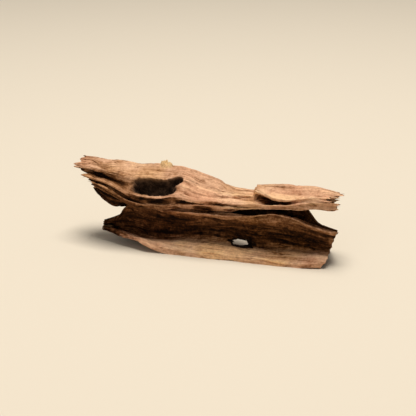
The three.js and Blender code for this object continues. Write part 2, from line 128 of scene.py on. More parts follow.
# %% Rails of the lower limb
LOWER = {
    "lip edge": [
        (-83, -18, 9.8), (-76, -20, 9.4), (-66, -24, 8.4), (-50, -29, 8.1), (-43, -30.4, 6),
        (-36, -30.6, 3.2), (-26, -30.6, 0.8), (-12, -30.4, -1.4), (16, -30.4, -1.6),
        (38, -30.4, -1.6), (60, -30.6, -1.4), (84, -30.2, -1.8), (97.6, -27.6, -1.4),
    ],
    "lip top": [
        (-83.4, -17, 11.4), (-76, -19, 11.6), (-66, -22.6, 10.6), (-50, -28, 10.8),
        (-43, -29.4, 9), (-36, -29.8, 6.6), (-26, -29.8, 4.8), (-12, -29.6, 3.6),
        (16, -29.6, 3.2), (38, -29.6, 3.4), (60, -30, 3.8), (84, -29.6, 3.4), (100.4, -27, 4),
    ],
    "ledge": [
        (-84, -15, 12), (-76, -16, 11.2), (-66, -18, 9.6), (-50, -22, 8), (-36, -23, 6.4),
        (-12, -23, 7), (8, -23, 8.2), (24, -23, 8), (45, -23, 6.6), (62, -23.4, 6.2),
        (84, -23, 6.8), (103, -22.4, 7),
    ],
    "corner": [
        (-84, -14, 12.4), (-76, -13, 11), (-66, -12, 9), (-55, -12.4, 7.2), (-44, -13, 6),
        (-34, -14, 5.8), (-21, -14, 7.6), (-7, -14, 10), (7, -14.4, 11), (21, -14.8, 9.6),
        (44, -15, 7.4), (61, -15, 7.2), (75, -14.6, 8.2), (102.4, -14.4, 9.4),
    ],
    "panel low": [
        (-84, -13.4, 13.2), (-74, -12, 15), (-64, -11, 14.4), (-44, -12.2, 11),
        (-20, -13.4, 12.4), (8, -13.6, 16), (24, -13.6, 15.8), (46, -13.6, 13.8),
        (76, -13.8, 13.4), (103.4, -14, 13),
    ],
    "panel middle": [
        (-84, -13, 13.8), (-74, -12.4, 18), (-68, -12, 22), (-62, -12, 24), (-44, -14, 23.6),
        (-20, -17, 23.4), (10, -18, 25), (30, -18, 25.4), (52, -18.6, 26.4), (78, -18, 24),
        (105.5, -16, 20),
    ],
    "panel top": [
        (-84, -13, 14.8), (-76, -13, 18), (-70, -13, 22), (-67.4, -12.6, 27), (-62, -13, 32),
        (-44, -18, 33), (-28, -24, 34.2), (-4, -25, 35.6), (16, -25, 35.8), (35, -25, 36.6),
        (44, -25.4, 37.8), (50, -25.4, 39.2), (59, -25, 40.8), (69, -24.6, 39), (78, -24, 36.8),
        (86, -23, 33.8), (108.5, -20, 28),
    ],
    "panel back": [
        (-84, -11, 15), (-76, -10, 18.4), (-70, -9, 22), (-67, -8, 27.6), (-62, -9, 33),
        (-44, -13, 35), (-28, -20, 35.2), (-4, -22, 36.2), (16, -22, 36.4), (32, -21, 36),
        (42, -20, 35.4), (50, -20.4, 37.4), (60, -20, 39), (78, -19, 35.4), (88, -17, 31.6),
        (108.5, -15, 26.4),
    ],
    "crack floor": [
        (-83.6, -9, 14.8), (-76, -7, 18), (-70, -5, 21.6), (-66, -4, 28), (-60, -5, 35),
        (-44, -8, 36.4), (-28, -16, 36), (-12, -17.6, 36.4), (6, -17.6, 36.6), (22, -16, 35.6),
        (36, -11, 28), (60, -10, 28), (78, -10, 28), (90, -10, 26.4), (107.5, -9, 23.6),
    ],
    "web top": [
        (-83.4, -7.6, 14), (-76, -4, 17), (-70, -1, 20.4), (-64, 1, 29), (-56, 1, 36),
        (-40, 0, 38), (-20, -4, 41), (10, -4, 43.4), (40, -4, 44), (62, -3.6, 45), (76, -4, 44.4),
        (83, -4, 38.6), (91, -4, 28.6), (106.5, -4, 23.4),
    ],
    "web back": [
        (-83.2, -7.4, 12.6), (-76, -3, 15), (-68, 3, 19.6), (-60, 8, 30), (-40, 13, 33),
        (-8, 13, 33), (14, 8, 38), (34, 3, 40.4), (58, 2, 42), (74, 1, 42), (82, 1, 36),
        (91, 1, 26.8), (105, 0, 22),
    ],
    "back shoulder": [
        (-83, -8, 11.6), (-76, -3, 12.6), (-68, 4, 15), (-56, 14, 22), (-36, 22.6, 28),
        (-8, 24, 28), (12, 17, 29), (30, 9, 31), (50, 8, 31), (74, 8, 29), (90, 6, 22),
        (102, 3, 19),
    ],
    "back middle": [
        (-83, -10, 10.8), (-74, -5, 10.4), (-62, 6, 12), (-48, 20, 14), (-32, 27.6, 16),
        (-8, 28, 16), (10, 20, 19), (26, 9, 23), (44, 8.6, 22), (60, 14, 16), (78, 16, 13),
        (92, 12, 11), (101, 7, 11),
    ],
    "back foot": [
        (-83, -12, 10), (-72, -7, 8), (-60, 4, 5.6), (-48, 17, 2.6), (-36, 24, -1.8),
        (-8, 24.6, -1.8), (8, 17, 5), (22, 5, 15.4), (42, 4, 15.4), (56, 11, 3), (66, 16, -1.8),
        (84, 15, -1.8), (100, 8, 1),
    ],
    "under back": [
        (-83, -14, 9.6), (-72, -11, 7.2), (-60, -3, 4.6), (-48, 6, 1.6), (-34, 12, -1.6),
        (-10, 12, -1.6), (6, 8, 3.4), (20, -1, 10.4), (42, -2, 10), (56, 4, 3), (68, 8, -1.6),
        (84, 7, -1.6), (99, 1, 0.6),
    ],
    "under middle": [
        (-83, -15.6, 9.4), (-72, -14.6, 7.4), (-60, -12, 4.2), (-48, -9, 2), (-34, -6, 1.4),
        (-10, -6, 2.4), (8, -8, 4.6), (24, -10.6, 4.8), (42, -10.6, 3.2), (58, -8, 2),
        (84, -8, 1.4), (98, -10, 1.2),
    ],
    "under front": [
        (-83, -17, 9.4), (-74, -18.6, 8.6), (-62, -20, 6.6), (-48, -22, 4.6), (-36, -22.6, 1.8),
        (-12, -22, 1), (16, -22, 1.6), (40, -22, 1), (62, -22.4, 0.8), (84, -22, 0.4),
        (98, -21, 0.6),
    ],
}
print("lower limb:", len(LOWER), "rails,", sum(map(len, LOWER.values())), "points")

# %% [markdown]
# The loops say in which order a limb's skin passes its rails: over one side from edge to edge, then
# back along the other. `round` says how smoothly it passes: 1 is a curve and 0 a crease. `steps` is
# how many steps the CAD model takes around the limb. The skin here takes `FINER` times as many, so
# that its ridges fall where the CAD model's do.

# %% Loops around the limbs
FINER = 5

UPPER_LOOP = {
    "near": [
        "back edge", "back shoulder", "crest", "upper lip", "valley", "middle lip", "middle slot",
        "front ridge", "rim",
    ],
    "far": ["rim", "under front", "under middle", "under back", "back edge"],
    "round": {
        "crest": 0.7, "upper lip": 0.4, "middle lip": 0.4, "front ridge": 0.5, "rim": 0.4,
    },
    "steps": 48,
}
LOWER_LOOP = {
    "near": [
        "lip edge", "under front", "under middle", "under back", "back foot", "back middle",
        "back shoulder", "web back", "web top",
    ],
    "far": [
        "web top", "crack floor", "panel back", "panel top", "panel middle", "panel low",
        "corner", "ledge", "lip top", "lip edge",
    ],
    "round": {
        "lip edge": 0.4, "lip top": 0.5, "corner": 0.3, "panel top": 0.4, "panel back": 0.7,
        "web top": 0.6,
    },
    "steps": 50,
}
for limb, loop in (("upper", UPPER_LOOP), ("lower", LOWER_LOOP)):
    print(limb, "limb:", loop["steps"] * FINER, "steps around")

# %% [markdown]
# ## Stretching a skin over rails
#
# Along the grain a rail is a monotone cubic, which never swings past its points. Around the limb one
# closed curve passes through all the rails at a station. Both are cubics between two values with a
# slope at each, so one formula serves for both.

# %% Curves through points
def ease(value, start, end):
    """0 before start, 1 after end, and a smooth step between: 3t^2 - 2t^3 of the share t."""
    t = np.clip((value - start) / (end - start), 0, 1)
    return t * t * (3 - 2 * t)


def cubic(f, h, p0, p1, m0, m1):
    """The cubic from p0 to p1 over a stretch h, with slopes m0 and m1, at the share f of it."""
    f2, f3 = f * f, f * f * f
    values = (2 * f3 - 3 * f2 + 1) * p0 + (3 * f2 - 2 * f3) * p1
    return values + (f3 - 2 * f2 + f) * h * m0 + (f3 - f2) * h * m1


def rail_slopes(t, v):
    """Slopes at each point: nought at a turn, else the harmonic mean of the two stretches."""
    h = np.diff(t)
    k = np.diff(v) / h
    rising = k[:-1] * k[1:] > 0
    a, b = np.where(rising, k[:-1], 1), np.where(rising, k[1:], 1)
    mean = 3 * (h[:-1] + h[1:]) / ((2 * h[1:] + h[:-1]) / a + (h[1:] + 2 * h[:-1]) / b)
    return np.concatenate([k[:1], np.where(rising, mean, 0), k[-1:]])


def on_rail(points, x):
    """The rail's points at x: the cubic between its neighbours, and level beyond its ends."""
    t, y, z = np.array(points, float).T
    here = np.clip(x, t[0], t[-1])
    i = np.clip(np.searchsorted(t, here) - 1, 0, len(t) - 2)
    h = t[i + 1] - t[i]
    f = (here - t[i]) / h
    sides = [(v, rail_slopes(t, v)) for v in (y, z)]
    return np.stack([x, *(cubic(f, h, v[i], v[i + 1], m[i], m[i + 1]) for v, m in sides)], -1)


middle = on_rail(UPPER["crest"], np.array([0.0]))[0]
print("the crest over the mark, in mm:", middle.round(1))

# %% The skin of a limb
STATIONS = 376
END_REACH = 26  # mm from a broken end over which the skin is sheared to follow the break
PROBES = np.array([0.1, 0.3, 0.5, 0.7, 0.9])  # shares of the length at which spans are measured
Skin = namedtuple("Skin", "points columns way girth")


def knots(rails, names, share):
    """Each rail's point at shares of the length, sheared near the breaks so that it keeps its end."""
    left = min(rails[n][0][0] for n in names)
    right = max(rails[n][-1][0] for n in names)
    x = left + (right - left) * share
    near_left, near_right = 1 - ease(x - left, 0, END_REACH), 1 - ease(right - x, 0, END_REACH)
    rows = []
    for n in names:
        start, end = rails[n][0][0], rails[n][-1][0]
        rows.append(on_rail(rails[n], x + (start - left) * near_left + (end - right) * near_right))
    return np.stack(rows, 1)


def share_out(spans, total):
    """The total of steps shared out over the spans: each next one where steps are the longest."""
    steps = np.ones(len(spans), int)
    for _ in range(total - len(spans)):
        steps[np.argmax(spans / steps)] += 1
    return steps * FINER


def stretch_skin(rails, loop):
    """A grid of points, one row for each station from the left break to the right one.

    Between two rails a row is the cubic through them. Its slope at a rail is the mean of the
    slopes on either side, eased by how round the rail is. Stations lie closer together at both
    ends. Also gives the column of each rail, each column's way around the limb, and the girth,
    in mm.
    """
    names = loop["near"] + loop["far"][1:-1]
    probes = knots(rails, names, PROBES)
    span = np.linalg.norm(np.roll(probes, -1, 1) - probes, axis=2).mean(0)
    turn, half = len(loop["near"]) - 1, loop["steps"] // 2
    steps = np.concatenate([share_out(span[:turn], half), share_out(span[turn:], half)])
    rail = np.repeat(np.arange(len(names)), steps)
    first = np.cumsum(steps) - steps
    share = ((np.arange(len(rail)) - first[rail]) / steps[rail])[None, :, None]

    s = np.linspace(0, 1, STATIONS)
    knot = knots(rails, names, 0.5 * s + 0.5 * (0.5 - 0.5 * np.cos(pi * s)))
    h0, h1 = np.roll(span, 1)[:, None], span[:, None]
    back, ahead = (knot - np.roll(knot, 1, 1)) / h0, (np.roll(knot, -1, 1) - knot) / h1
    roundness = np.array([loop["round"].get(n, 1) for n in names])[:, None]
    slope = (back * h1 + ahead * h0) / (h0 + h1) * roundness
    after = (rail + 1) % len(names)
    width = span[rail][None, :, None]
    grid = cubic(share, width, knot[:, rail], knot[:, after], slope[:, rail], slope[:, after])
    way = np.concatenate([[0], np.cumsum(np.repeat(span / steps, steps))[:-1]])
    return Skin(grid, dict(zip(names, first)), way, span.sum())


upper, lower = stretch_skin(UPPER, UPPER_LOOP), stretch_skin(LOWER, LOWER_LOOP)
for name, skin in (("upper", upper), ("lower", lower)):
    print(name, "skin", skin.points.shape, "girth", round(skin.girth), "mm")

# %% [markdown]
# ## Noise that can be stretched
#
# Everything that water and rot did to the wood follows the grain, so the fine relief is noise that is
# stretched along it: about ten times as long as it is wide. Blender's own displacement textures can't
# be read back and combined freely, so this is a small gradient noise in numpy. It is seeded, which
# makes every run give the same piece of wood.

# %% Gradient noise
def make_noise(seed):
    """noise(p) from about -1 to 1: each corner of a unit grid has a random slope, and a point
    takes the eight corners' slopes times its way from them, blended by 6t^5 - 15t^4 + 10t^3."""
    random = np.random.default_rng(seed)
    order = random.permutation(256)
    slopes = random.normal(size=(256, 3))
    slopes /= np.linalg.norm(slopes, axis=1)[:, None]

    def noise(p):
        cell = np.floor(p).astype(int)
        f = p - cell
        blend = f * f * f * (f * (f * 6 - 15) + 10)
        total = np.zeros(p.shape[:-1])
        for corner in np.ndindex(2, 2, 2):
            c = np.array(corner)
            x, y, z = np.moveaxis(cell + c, -1, 0)
            pick = order[(order[(order[x & 255] + y) & 255] + z) & 255]
            weight = np.prod(np.where(c, blend, 1 - blend), -1)
            total += weight * np.sum(slopes[pick] * (f - c), -1)
        return 1.6 * total

    return noise


def grained(noise, grain, along, across, shift=0.0):
    """The noise with its cells along mm long and across mm wide, read on grain coordinates."""
    return noise(grain / np.array([along, across, across]) + shift)


wood_noise = make_noise(7)
sample = wood_noise(np.random.default_rng(1).uniform(-40, 40, (5000, 3)))
print("noise runs from", sample.min().round(2), "to", sample.max().round(2))

# %% [markdown]
# ## The grain
#
# Every point of a skin gets grain coordinates: its place along the grain, and its place around the
# limb laid on a circle, so that the pattern closes without a seam. The same coordinates go to the
# material later, so colour and relief follow the same fibres. Real fibres wander, and they part and
# flow round a knot.

# %% Grain coordinates and the knot's place
KNOT = {
    "centre": np.array([-38.5, -17, 50]),
    "inward": np.array([0, 0.6222, -0.7828]),
    "side": np.array([0, 0.7828, 0.6222]),
    "half length": 18,
    "half width": 7.6,
    "depth": 13,
    "wall": (0.68, 1.06),  # shares of its size between which it gets shallow
    "stain": (0.9, 1.15),  # and between which its dark stain fades
}


def near_side(points):
    """1 on the columns of the loop's near side, which are the first half, and 0 on the others."""
    return (np.arange(points.shape[1]) < points.shape[1] / 2).astype(float)


def knot_place(points):
    """How far points lie along and across the knot from its middle, seen into it, in mm."""
    off = points - KNOT["centre"]
    return off[..., 0], off @ KNOT["side"]


def grain_of(skin, noise, around_knot=False):
    """(x, r cos a, r sin a): r is the mean radius, and a the way around the limb, wandering by 2.2
    mm over 48 mm and by 0.8 mm over a third of that. Around the knot, fibres within 24 mm of it
    along the grain are pushed aside by up to 4.6 mm, less and less over 13 mm."""
    points, radius = skin.points, skin.girth / (2 * pi)
    angle = np.broadcast_to(skin.way / radius, points.shape[:2])
    circle = np.stack([points[..., 0] / 48, 1.6 * np.cos(angle), 1.6 * np.sin(angle)], -1)
    angle = angle + 2.2 / radius * noise(circle) + 0.8 / radius * noise(3.1 * circle + 9)
    if around_knot:
        along, across = knot_place(points)
        near = near_side(points) * np.exp(-((along / 24) ** 2))
        push = 4.6 * across / (np.abs(across) + 2) * np.exp(-np.abs(across) / 13)
        angle = angle + near * push / radius
    return np.stack([points[..., 0], radius * np.cos(angle), radius * np.sin(angle)], -1)


upper_grain = grain_of(upper, wood_noise, around_knot=True)
lower_grain = grain_of(lower, make_noise(19))
print("grain coordinates for", upper_grain[..., 0].size + lower_grain[..., 0].size, "points")

# %% [markdown]
# ## Coarse ridges
#
# The CAD model has coarse ridges along the grain, waves whose phase wanders with x. They are repeated
# here with the same numbers, so that the fine skin lies on the same ridges and stays inside the same
# box. They push a point out square to the grain.

# %% Coarse ridges
WAVES = [  # lines around the limb, height in mm, wander, length in mm, start, length of the fade
    (7, 0.5, 1.6, 34, 0.8, np.inf),
    (12, 0.42, 2.1, 27, 2.4, np.inf),
    (17, 0.3, 1.8, 19, 4.1, 41),
]


def ridges(x):
    """The sum of height sin(lines a + wander sin(x/length + start)), which fades as cos(x/fade), and
    of knuckles, 0.4 sin(x/5.2 + 3a) sin(x/23 - 2a), in mm."""
    around = 2 * pi * np.arange(x.shape[1]) / x.shape[1]
    total = 0.4 * np.sin(x / 5.2 + 3 * around) * np.sin(x / 23 - 2 * around)
    for lines, height, wander, length, start, fade in WAVES:
        phase = lines * around + wander * np.sin(x / length + start)
        total = total + height * np.sin(phase) * np.cos(x / fade)
    return total


def unit(vectors):
    """The vectors made 1 long; one of no length stays as it is."""
    return vectors / (np.linalg.norm(vectors, axis=-1, keepdims=True) + 1e-9)


def way_round(grid):
    """The way around the limb at each point, from the point before it to the one after."""
    return np.roll(grid, -1, 1) - np.roll(grid, 1, 1)


def raise_ridges(grid):
    """Each point moved by its ridge, square to the grain: the way round, turned a quarter."""
    _, y, z = np.moveaxis(way_round(grid), -1, 0)
    return grid + unit(np.stack([0 * y, z, -y], -1)) * ridges(grid[..., 0])[..., None]


def outward(grid):
    """Unit normals: the way around crossed with the way along, both by differences."""
    return unit(np.cross(way_round(grid), np.gradient(grid, axis=0)))


upper_ridged, lower_ridged = raise_ridges(upper.points), raise_ridges(lower.points)
heights = ridges(upper.points[..., 0])
print("ridges from", heights.min().round(2), "to", heights.max().round(2), "mm")

# %% [markdown]
# ## Furrows, cracks and eaten holes
#
# Weathered wood loses its soft early wood first. What stays are rounded ribs with sharp furrows
# between them, which is what the absolute value of a stretched noise looks like. Two sizes of ribs
# are laid over each other, then fine fibres, lumps, small pits, a few drying cracks, and holes that
# rot has eaten. The holes are placed one by one: each lies on a rail, at its own x and so many mm
# beside the rail. Where the wood was rubbed most, on the top, on the finger and at the lower limb's
# right end, the ribs are worn lower.

# %% Ribs, fibres, pits and cracks
RELIEF_CELLS = {  # mm along and across the grain, and a shift, so that no two noises are alike
    "broad": (52, 5.4, 0.0), "narrow": (36, 2.5, 5.3), "fibres": (17, 1.15, 11.7),
    "lumps": (9, 6, 17.1), "pits": (4.4, 2.7, 41.9), "cracks": (74, 7.2, 23.9),
    "cracked": (30, 16, 31.3),
}


def ribs(grain, noise, strength):
    """Relief in mm: 1.15 (|broad|^0.8 - 0.36) + 0.6 (|narrow| - 0.3) + 0.2 fibres + 0.5 lumps, less
    cracks 1.7 mm deep, all times the strength, and small pits where their own noise is low. A
    crack is a bell around nought of its noise, and opens only where another noise is high."""
    part = {name: grained(noise, grain, *cells) for name, cells in RELIEF_CELLS.items()}
    broad = 1.15 * (np.abs(part["broad"]) ** 0.8 - 0.36)
    narrow = 0.6 * (np.abs(part["narrow"]) - 0.3)
    fibres, lumps = 0.2 * part["fibres"], 0.5 * part["lumps"]
    pits = 1.1 * np.minimum(part["pits"] + 0.12, 0)
    split = np.exp(-((part["cracks"] / 0.11) ** 2))
    where = ease(part["cracked"], 0.05, 0.35)
    return strength * (broad + narrow + fibres + lumps - 1.7 * split * where) + pits


upper_noise, lower_noise = make_noise(31), make_noise(43)
print("unworn relief spreads by", ribs(upper_grain, upper_noise, 1).std().round(2), "mm")

# %% Spots on a skin
def spots(skin, places, noise, core=0.35):
    """Sum of spots: each is an ellipse ((dx/a)^2 + (dw/b)^2)^0.5 with a ragged rim, given as
    (rail, x, mm beside the rail, half length, half width, amount, slant). It has its full amount
    over the core and none beyond its rim."""
    points, columns, way, girth = skin
    total = np.zeros(points.shape[:2])
    ragged = 0.34 * noise(points / np.array([5.5, 2.1, 2.1]))
    for rail, x, beside, half_length, half_width, amount, slant in places:
        dx = points[..., 0] - x
        dw = (way - way[columns[rail]] - beside + girth / 2) % girth - girth / 2
        q = np.hypot(dx / half_length, (dw - slant * dx) / half_width) + ragged
        total += amount * (1 - ease(q, core, 1.05))
    return total


one_spot = spots(upper, [("crest", 0, 0, 10, 5, 1, 0)], upper_noise)
print("a spot of 10 by 5 mm on the crest covers", (one_spot > 0.5).sum(), "points")

# %% Holes and rubbed places
UPPER_HOLES = [
    ("rim", -19, -1.0, 4.5, 1.2, 2.2, 0.04),
    ("rim", 4, -1.2, 9.5, 1.5, 2.8, 0.05),
    ("rim", 27, -1.0, 8, 1.2, 2.4, 0.04),
    ("middle slot", -3, 0.4, 12, 1.1, 1.8, 0.04),
    ("middle slot", 18, 0.8, 10, 0.9, 1.5, 0.03),
    ("front ridge", -33, -1.8, 13, 1.2, 2.0, 0.05),
    ("front ridge", -52, -1.2, 12, 0.9, 1.6, 0.03),
    ("valley", -86, 1.5, 9, 1.2, 2.4, -0.05),
    ("valley", -8, 2, 12, 0.9, 1.5, 0.05),
    ("valley", 21, -2.4, 15, 0.8, 1.3, -0.04),
    ("upper lip", -74, -5.5, 17, 0.9, 1.8, 0.06),
    ("upper lip", 80, -2.8, 8, 0.9, 1.5, 0.22),
    ("upper lip", 60, -13.5, 15, 0.8, 0.9, 0.04),
    ("back shoulder", -48, -2, 16, 1.6, 2.6, 0.04),
    ("back shoulder", 66, 3, 12, 1.2, 2, -0.04),
    ("back edge", -16, 4, 9, 2.2, 3, 0),
]
LOWER_HOLES = [
    ("panel top", -34, 6, 15, 1.2, 1.8, 0.16),
    ("panel middle", 8, -5, 24, 1.1, 1.5, 0.05),
    ("panel middle", 62, 2, 20, 1.1, 1.6, -0.03),
    ("panel low", 78, -3, 12, 1.2, 1.4, 0.03),
    ("ledge", -20, 1, 18, 0.9, 1.0, 0.04),
    ("ledge", 62, -1.5, 16, 0.9, 1.1, -0.03),
    ("back middle", -30, -3, 15, 2.4, 3.2, 0.08),
    ("back shoulder", 48, 3, 14, 1.8, 2.4, -0.05),
    ("back middle", 76, 4, 9, 1.8, 2.4, 0.06),
]
RUBBED = [  # the amount is the share that the ribs lose
    ("upper lip", 0, -3, 34, 15, 0.5, 0.05),
    ("upper lip", 24, 0, 24, 12, 0.35, 0),
    ("upper lip", 74, -6, 34, 11, 0.6, 0),
    ("crest", -62, 5, 30, 9, 0.3, 0),
]
MOST_RUBBED = 0.7
RIGHT_END, GAIN = 0.35, 0.45  # the lower ribs' strength at the right end, and what they gain
WORN_OVER = 14  # over so many mm from it

rubbed = spots(upper, RUBBED, upper_noise, core=0.2)
upper_relief = ribs(upper_grain, upper_noise, 1 - np.minimum(rubbed, MOST_RUBBED))
from_right = lower.points[-1:, :, 0] - lower.points[..., 0]
lower_strength = RIGHT_END + GAIN * ease(from_right, 0, WORN_OVER)
lower_relief = ribs(lower_grain, lower_noise, lower_strength)
upper_eaten = spots(upper, UPPER_HOLES, upper_noise)
lower_eaten = spots(lower, LOWER_HOLES, lower_noise)
print("relief of the upper limb from", upper_relief.min().round(2), "to",
      upper_relief.max().round(2), "mm; deepest hole", upper_eaten.max().round(1), "mm")

# %% [markdown]
# ## The knot
#
# Behind the front ridge the wood has rotted round a knot and left a long dark pit. It could be cut
# out with a boolean, but the pit has no clean wall, so the skin itself is pushed in: all the way
# inside an oval with a ragged border, and nearly as deep in a short lobe at its upper right corner.
# Only the near side of the limb moves, or the pit would come out underneath.

# %% Sink the knot
LOBE = {
    "from": (13.0, 4.5), "to": (18.5, 8.6), "half width": (5.0, 3.8), "depth": 10,
    "wall": (0.5, 1.06), "stain": (0.8, 1.2),
}
SQUARENESS = 2.6  # 2 would be an ellipse


def knot_sink(points):
    """(mm to sink, how dark): depth times an eased oval (|a|^n + |b|^n)^(1/n), whose sides are
    flatter than an ellipse's, or the lobe's, whichever is more. The lobe is the distance from a
    short line, divided by a width that goes from wide to narrow along it. Both are made ragged by
    noise, 0.1 of it broad and 0.03 fine."""
    along, across = knot_place(points)
    ragged = 0.1 * wood_noise(points / 3.4) + 0.03 * wood_noise(points / 1.6 + 8)
    a, b = np.abs(along) / KNOT["half length"], np.abs(across) / KNOT["half width"]
    pit = (a**SQUARENESS + b**SQUARENESS) ** (1 / SQUARENESS) + ragged
    start, way = np.array(LOBE["from"]), np.subtract(LOBE["to"], LOBE["from"])
    t = np.clip(((along - start[0]) * way[0] + (across - start[1]) * way[1]) / (way @ way), 0, 1)
    off = np.hypot(along - start[0] - t * way[0], across - start[1] - t * way[1])
    wide, narrow = LOBE["half width"]
    lobe = off / (wide + (narrow - wide) * t) + 1.5 * ragged
    near = near_side(points)
    forms = ((KNOT, pit), (LOBE, lobe))
    deep = np.maximum(*(form["depth"] * (1 - ease(q, *form["wall"])) for form, q in forms))
    dark = np.maximum(*(1 - ease(q, *form["stain"]) for form, q in forms))
    return near * deep, near * dark


sink, upper_dark = knot_sink(upper.points)
print("the knot is sunk over", (sink > 1).sum(), "points, to", sink.max().round(1), "mm")

# %% [markdown]
# ## The nub and the broken ends
#
# A torn lump of fresh, pale fibre stands on the crest behind the knot. Both ends of each limb are
# broken: strands of different lengths, each a few millimetres wide, with the wood between them
# eaten back. The step where the saddle meets the finger is a break too, so it is as ragged as the
# ends are. The lower limb's ends are worn smoother than the upper one's.

# %% The nub
NUB = {"centre": np.array([-35, 4.0]), "half": np.array([4.6, 3.1]), "height": 3.6}


def nub_rise(points):
    """(mm to rise, how fresh): an egg's height over the crest, torn by noise that is drawn out
    upwards, so that it stands in tufts."""
    off = (points[..., :2] - NUB["centre"]) / NUB["half"]
    torn = wood_noise(points * np.array([0.55, 0.8, 0.12]) + 3)
    q = np.linalg.norm(off, axis=-1) + 0.4 * torn
    near = near_side(points)
    tufts = 1 + 0.75 * wood_noise(points * np.array([0.85, 0.95, 0.1]) + 11)
    rise = NUB["height"] * np.sqrt(np.clip(1 - q * q, 0, 1)) * tufts
    return near * rise, near * (1 - ease(q, 0.7, 1.3))


nub, upper_fresh_and_highlights = nub_rise(upper.points)
print("the nub rises", nub.max().round(1), "mm")

# %% Ragged breaks
UPPER_JAG, LOWER_JAG = 3.0, 0.6  # mm that strands stand out or lie back at a limb's ends
STEP = 42.5  # x of the finger's left end, in mm
END_FADE, STEP_FADE = 15, 12  # mm from a break over which its jags fade


def around_limb(skin):
    """Points on a circle of the limb's own girth, in mm, for noise that closes around it."""
    angle, radius = 2 * pi * skin.way / skin.girth, skin.girth / (2 * pi)
    return np.stack([np.zeros_like(angle), radius * np.cos(angle), radius * np.sin(angle)], -1)


def ragged_ends(skin, noise, jag):
    """mm to move along x at each break: steps of noise around the limb, up to the jag and a third
    more, fading with distance."""
    circle, x = around_limb(skin), skin.points[..., 0]
    moved = 0
    for side, row in ((-1, x[:1]), (1, x[-1:])):
        strand = noise(circle / 3.9 + 40 * side)
        steps = jag * (np.tanh(3 * strand) + 0.35 * noise(circle / 1.1 + 7 * side))
        moved = moved + steps * (1 - ease(np.abs(x - row), 0, END_FADE)) * side
    return moved


def ragged_step(skin, noise):
    """mm to move along x at the finger's left end, on the near side only: steps of noise around
    the limb, 1.3 mm high, and lumps of it on the broken face, 1.1 mm high."""
    steps = 1.3 * np.tanh(2.5 * noise(around_limb(skin) / 4.6 + 90))
    steps = steps + 1.1 * noise(skin.points / np.array([9.0, 2.0, 2.0]) + 50)
    away = np.abs(skin.points[..., 0] - STEP)
    return steps * near_side(skin.points) * (1 - ease(away, 1.5, STEP_FADE))


upper_break = make_noise(53)
upper_jag = ragged_ends(upper, upper_break, UPPER_JAG) + ragged_step(upper, upper_break)
lower_jag = ragged_ends(lower, make_noise(61), LOWER_JAG)
print("breaks move by up to", np.abs(upper_jag).max().round(1), "and",
      np.abs(lower_jag).max().round(1), "mm")

# %% [markdown]
# ## Putting the layers together
#
# The layers are added up in order: ridges, then relief and holes along the true normal, then the
# knot and the nub, and last the shift of the ragged ends. Nothing goes below the ground, where the
# wood is worn flat.

# %% Finished skins
def finish_skin(ridged, relief, holes, jag, sunk=0.0, rise=0.0):
    """The ridged grid moved out by relief and in by holes, sunk into the knot, raised at the nub
    and shifted along x at its ends, all in mm, with z kept at or above 0."""
    grid = ridged + outward(ridged) * (relief - holes)[..., None]
    grid = grid + np.multiply.outer(np.broadcast_to(sunk, jag.shape), KNOT["inward"])
    grid[..., 2] += rise
    grid[..., 0] += jag
    grid[..., 2] = np.maximum(grid[..., 2], 0)
    return grid


outside_knot = upper_relief * (1 - upper_dark)
upper_skin = finish_skin(upper_ridged, outside_knot, upper_eaten, upper_jag, sink, nub)
lower_skin = finish_skin(lower_ridged, lower_relief, lower_eaten, lower_jag)
for name, skin in (("upper", upper_skin), ("lower", lower_skin)):
    print(name, "skin in mm:", skin.min((0, 1)).round(1), skin.max((0, 1)).round(1))

# %% [markdown]
# ## From grid to closed mesh
#
# A grid is a tube. It is closed at each break by lines that run across the loop from one side to the
# other, and the wood between them is eaten in: deepest in the middle, with strands that snapped at
# different lengths. Each vertex also carries numbers for the material: its grain coordinates, how
# weathered it is with painted shade and light, how deep it lies in a furrow, how dark with rot, and
# how fresh it is, which also carries painted highlights.

# %% Close a tube
CAP_ROWS = 16
UPPER_HOLLOWS, LOWER_HOLLOWS = (7, 5), (1, 3)  # mm that the left and the right break are hollow


def close_tube(grid, noise, hollows):
    """All vertices of a closed limb, for each break a grid of indices into them, and how far each
    point between the sides stands out of its hollow, in mm.

    A point between two sides a and b of a break is the mix of both at t, moved in along x by
    hollow (sin(pi t) sin(pi j / half))^0.5, and out by 2.2 mm strands and 1.1 mm fibres of noise
    that fade at the border."""
    rows, n = grid.shape[:2]
    half = n // 2
    t = (np.arange(1, CAP_ROWS) / CAP_ROWS)[None, :, None]
    j = np.arange(1, half)
    points = [grid.reshape(-1, 3)]
    index, proud = [], []
    breaks = ((grid[0], hollows[0], 0), (grid[-1], -hollows[1], (rows - 1) * n))
    for ring, hollow, start in breaks:
        inner = ring[j][:, None] * (1 - t) + ring[n - j][:, None] * t
        edge = np.sin(pi * t[..., 0]) * np.sin(pi * j / half)[:, None]
        strands = 2.2 * np.tanh(3 * noise(inner * np.array([0.04, 0.27, 0.27]) + 2))
        fibres = 1.1 * noise(inner * np.array([0.08, 0.8, 0.8]))
        out = (strands + fibres) * ease(edge, 0, 0.25)
        inner[..., 0] += hollow * np.sqrt(edge) - np.sign(hollow) * out
        inner[..., 2] = np.maximum(inner[..., 2], 0)
        ids = np.empty((half + 1, CAP_ROWS + 1), int)
        ids[0], ids[half] = start, start + half
        ids[1:-1, 0], ids[1:-1, -1] = start + j, start + n - j
        own = np.arange(inner[..., 0].size).reshape(inner.shape[:2])
        ids[1:-1, 1:-1] = sum(map(len, points)) + own
        points.append(inner.reshape(-1, 3))
        index.append(ids)
        proud.append(out.ravel())
    return np.concatenate(points), index, np.concatenate(proud)


upper_points, upper_caps, upper_proud = close_tube(upper_skin, upper_noise, UPPER_HOLLOWS)
lower_points, lower_caps, lower_proud = close_tube(lower_skin, lower_noise, LOWER_HOLLOWS)
print("closed limbs:", len(upper_points), "and", len(lower_points), "vertices")

